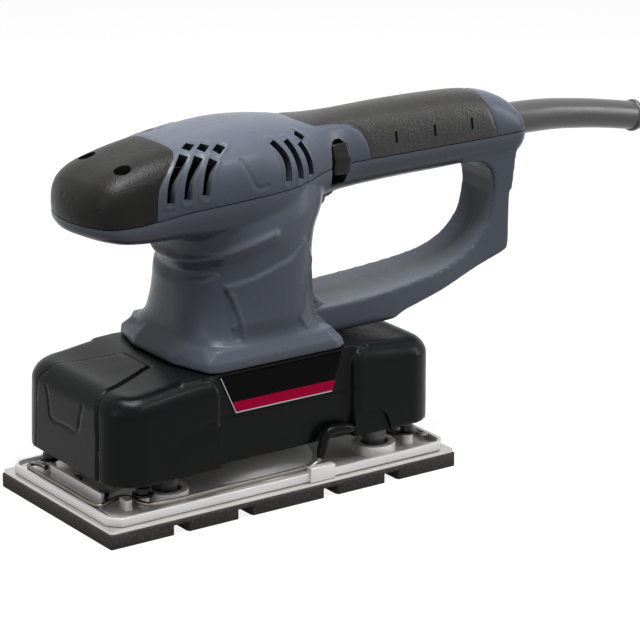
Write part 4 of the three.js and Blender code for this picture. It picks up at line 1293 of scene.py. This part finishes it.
PIVOT_X = -86.0
# The spring wire: a stub under the far screw, the bar across the end, a jog behind the
# lug and under the near screw's washer, the arm along the side, and the lever.
WIRE_ROUTE = [
    (-99.6, 32, 16.2), (-99.8, 38.5, 16.2), (-102, 42.3, 15.9), (-105, 41.5, 15.3), (-105.8, 36, 15),
    (-105.8, 0, 15), (-105.8, -28, 15), (-104.3, -33.2, 15.5), (-98, -31.6, 16), (-90, -30.4, 16.5),
    (PIVOT_X, -34, 16.5), (PIVOT_X, -42, 16.5), (-83, -49, 16.6), (-76, -51.6, 16.8), (-40, -51.8, 17),
    (10, -51.8, 17.2), (20.5, -51.8, 17.6), (24.8, -51.8, 20.5), (27, -51.8, 28), (28.6, -51.8, 32.5),
    (32, -51.8, 35.3), (38, -51.8, 35.6), (45.8, -51.8, 34.2),
]
WIRE_RADIUS = 1.35
SLEEVE_RADIUS = 2.7
SLEEVE_FROM = 0.886


def wire_line(per_span):
    """The route as a smooth line whose pace follows the spacing of its points."""
    knots = knots_of(WIRE_ROUTE)
    line = []
    for p0, p1, p2, p3 in zip(knots, knots[1:], knots[2:], knots[3:]):
        d0, d1, d2 = (max((b - a).length, 1e-4) ** 0.5 for a, b in ((p0, p1), (p1, p2), (p2, p3)))
        leave = ((p1 - p0) / d0 - (p2 - p0) / (d0 + d1) + (p2 - p1) / d1) * d1
        arrive = ((p2 - p1) / d1 - (p3 - p1) / (d1 + d2) + (p3 - p2) / d2) * d1
        for k in range(per_span):
            line.append(between(k / per_span, p1, leave, p2, arrive))
    return line + [knots[-2]]


def share_of(line, share):
    """The part of a line past a share of its length."""
    whole = sum((b - a).length for a, b in zip(line, line[1:]))
    run, start = 0.0, len(line) - 2
    for index, (a, b) in enumerate(zip(line, line[1:])):
        run += (b - a).length
        if run >= share * whole:
            start = index
            break
    return line[start:]


def build_clamp(end, turned_round):
    """The wire of one end and the sleeve dipped on its lever."""
    line = wire_line(10)
    tip = line[-1] + (line[-1] - line[-2]).normalized() * 1.2
    sleeve = share_of(line, SLEEVE_FROM)
    count = len(sleeve)
    sizes = [SLEEVE_RADIUS * min(1.0, 0.72 + 0.28 * min(i, count - i) / 3) for i in range(count + 1)]
    parts = [
        (bent_bar(line, WIRE_RADIUS, 18), "wire", SPRING_WIRE, "spring_wire"),
        (bent_bar(sleeve + [tip], sizes, 24), "sleeve", LEVER_VINYL, "lever_sleeve"),
    ]
    for bm, kind, material, slot in parts:
        if turned_round:
            half_turn(bm)
        made = mesh_object(f"{end}_paper_clamp_{kind}", bm)
        finish_piece(made, material, f"{end}_clamp", [f"{end}_clamp_{kind}"], 50)


build_clamp("front", False)
build_clamp("rear", True)


# ---------------------------------------------------------------- inner pieces

INNER_FINISH = {
    CAST_ALUMINIUM: ["base_frame"],
    GROUND_STEEL: ["lower_bearing", "upper_bearing", "eccentric_bearing", "armature_shaft", "counterweight"],
    LAMINATED_STEEL: ["stator_core", "armature_core"],
    VARNISHED_COPPER: [
        "field_coil_front", "field_coil_rear", "winding_head_lower", "winding_head_upper", "commutator",
    ],
    PRESSED_CARBON: ["carbon_brush_front", "carbon_brush_rear"],
    FITTING_NYLON: [
        "brush_holder_front", "brush_holder_rear", "upper_bearing_bracket", "switch_body", "capacitor",
        "cord_clamp", "cooling_fan",
    ],
    BLACK_OXIDE: [f"base_screw_{end}_{side}" for end in ("front", "rear") for side in ("near", "far")],
}
for material, names in INNER_FINISH.items():
    for name in names:
        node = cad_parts[name]
        node.data.materials.clear()
        node.data.materials.append(material)
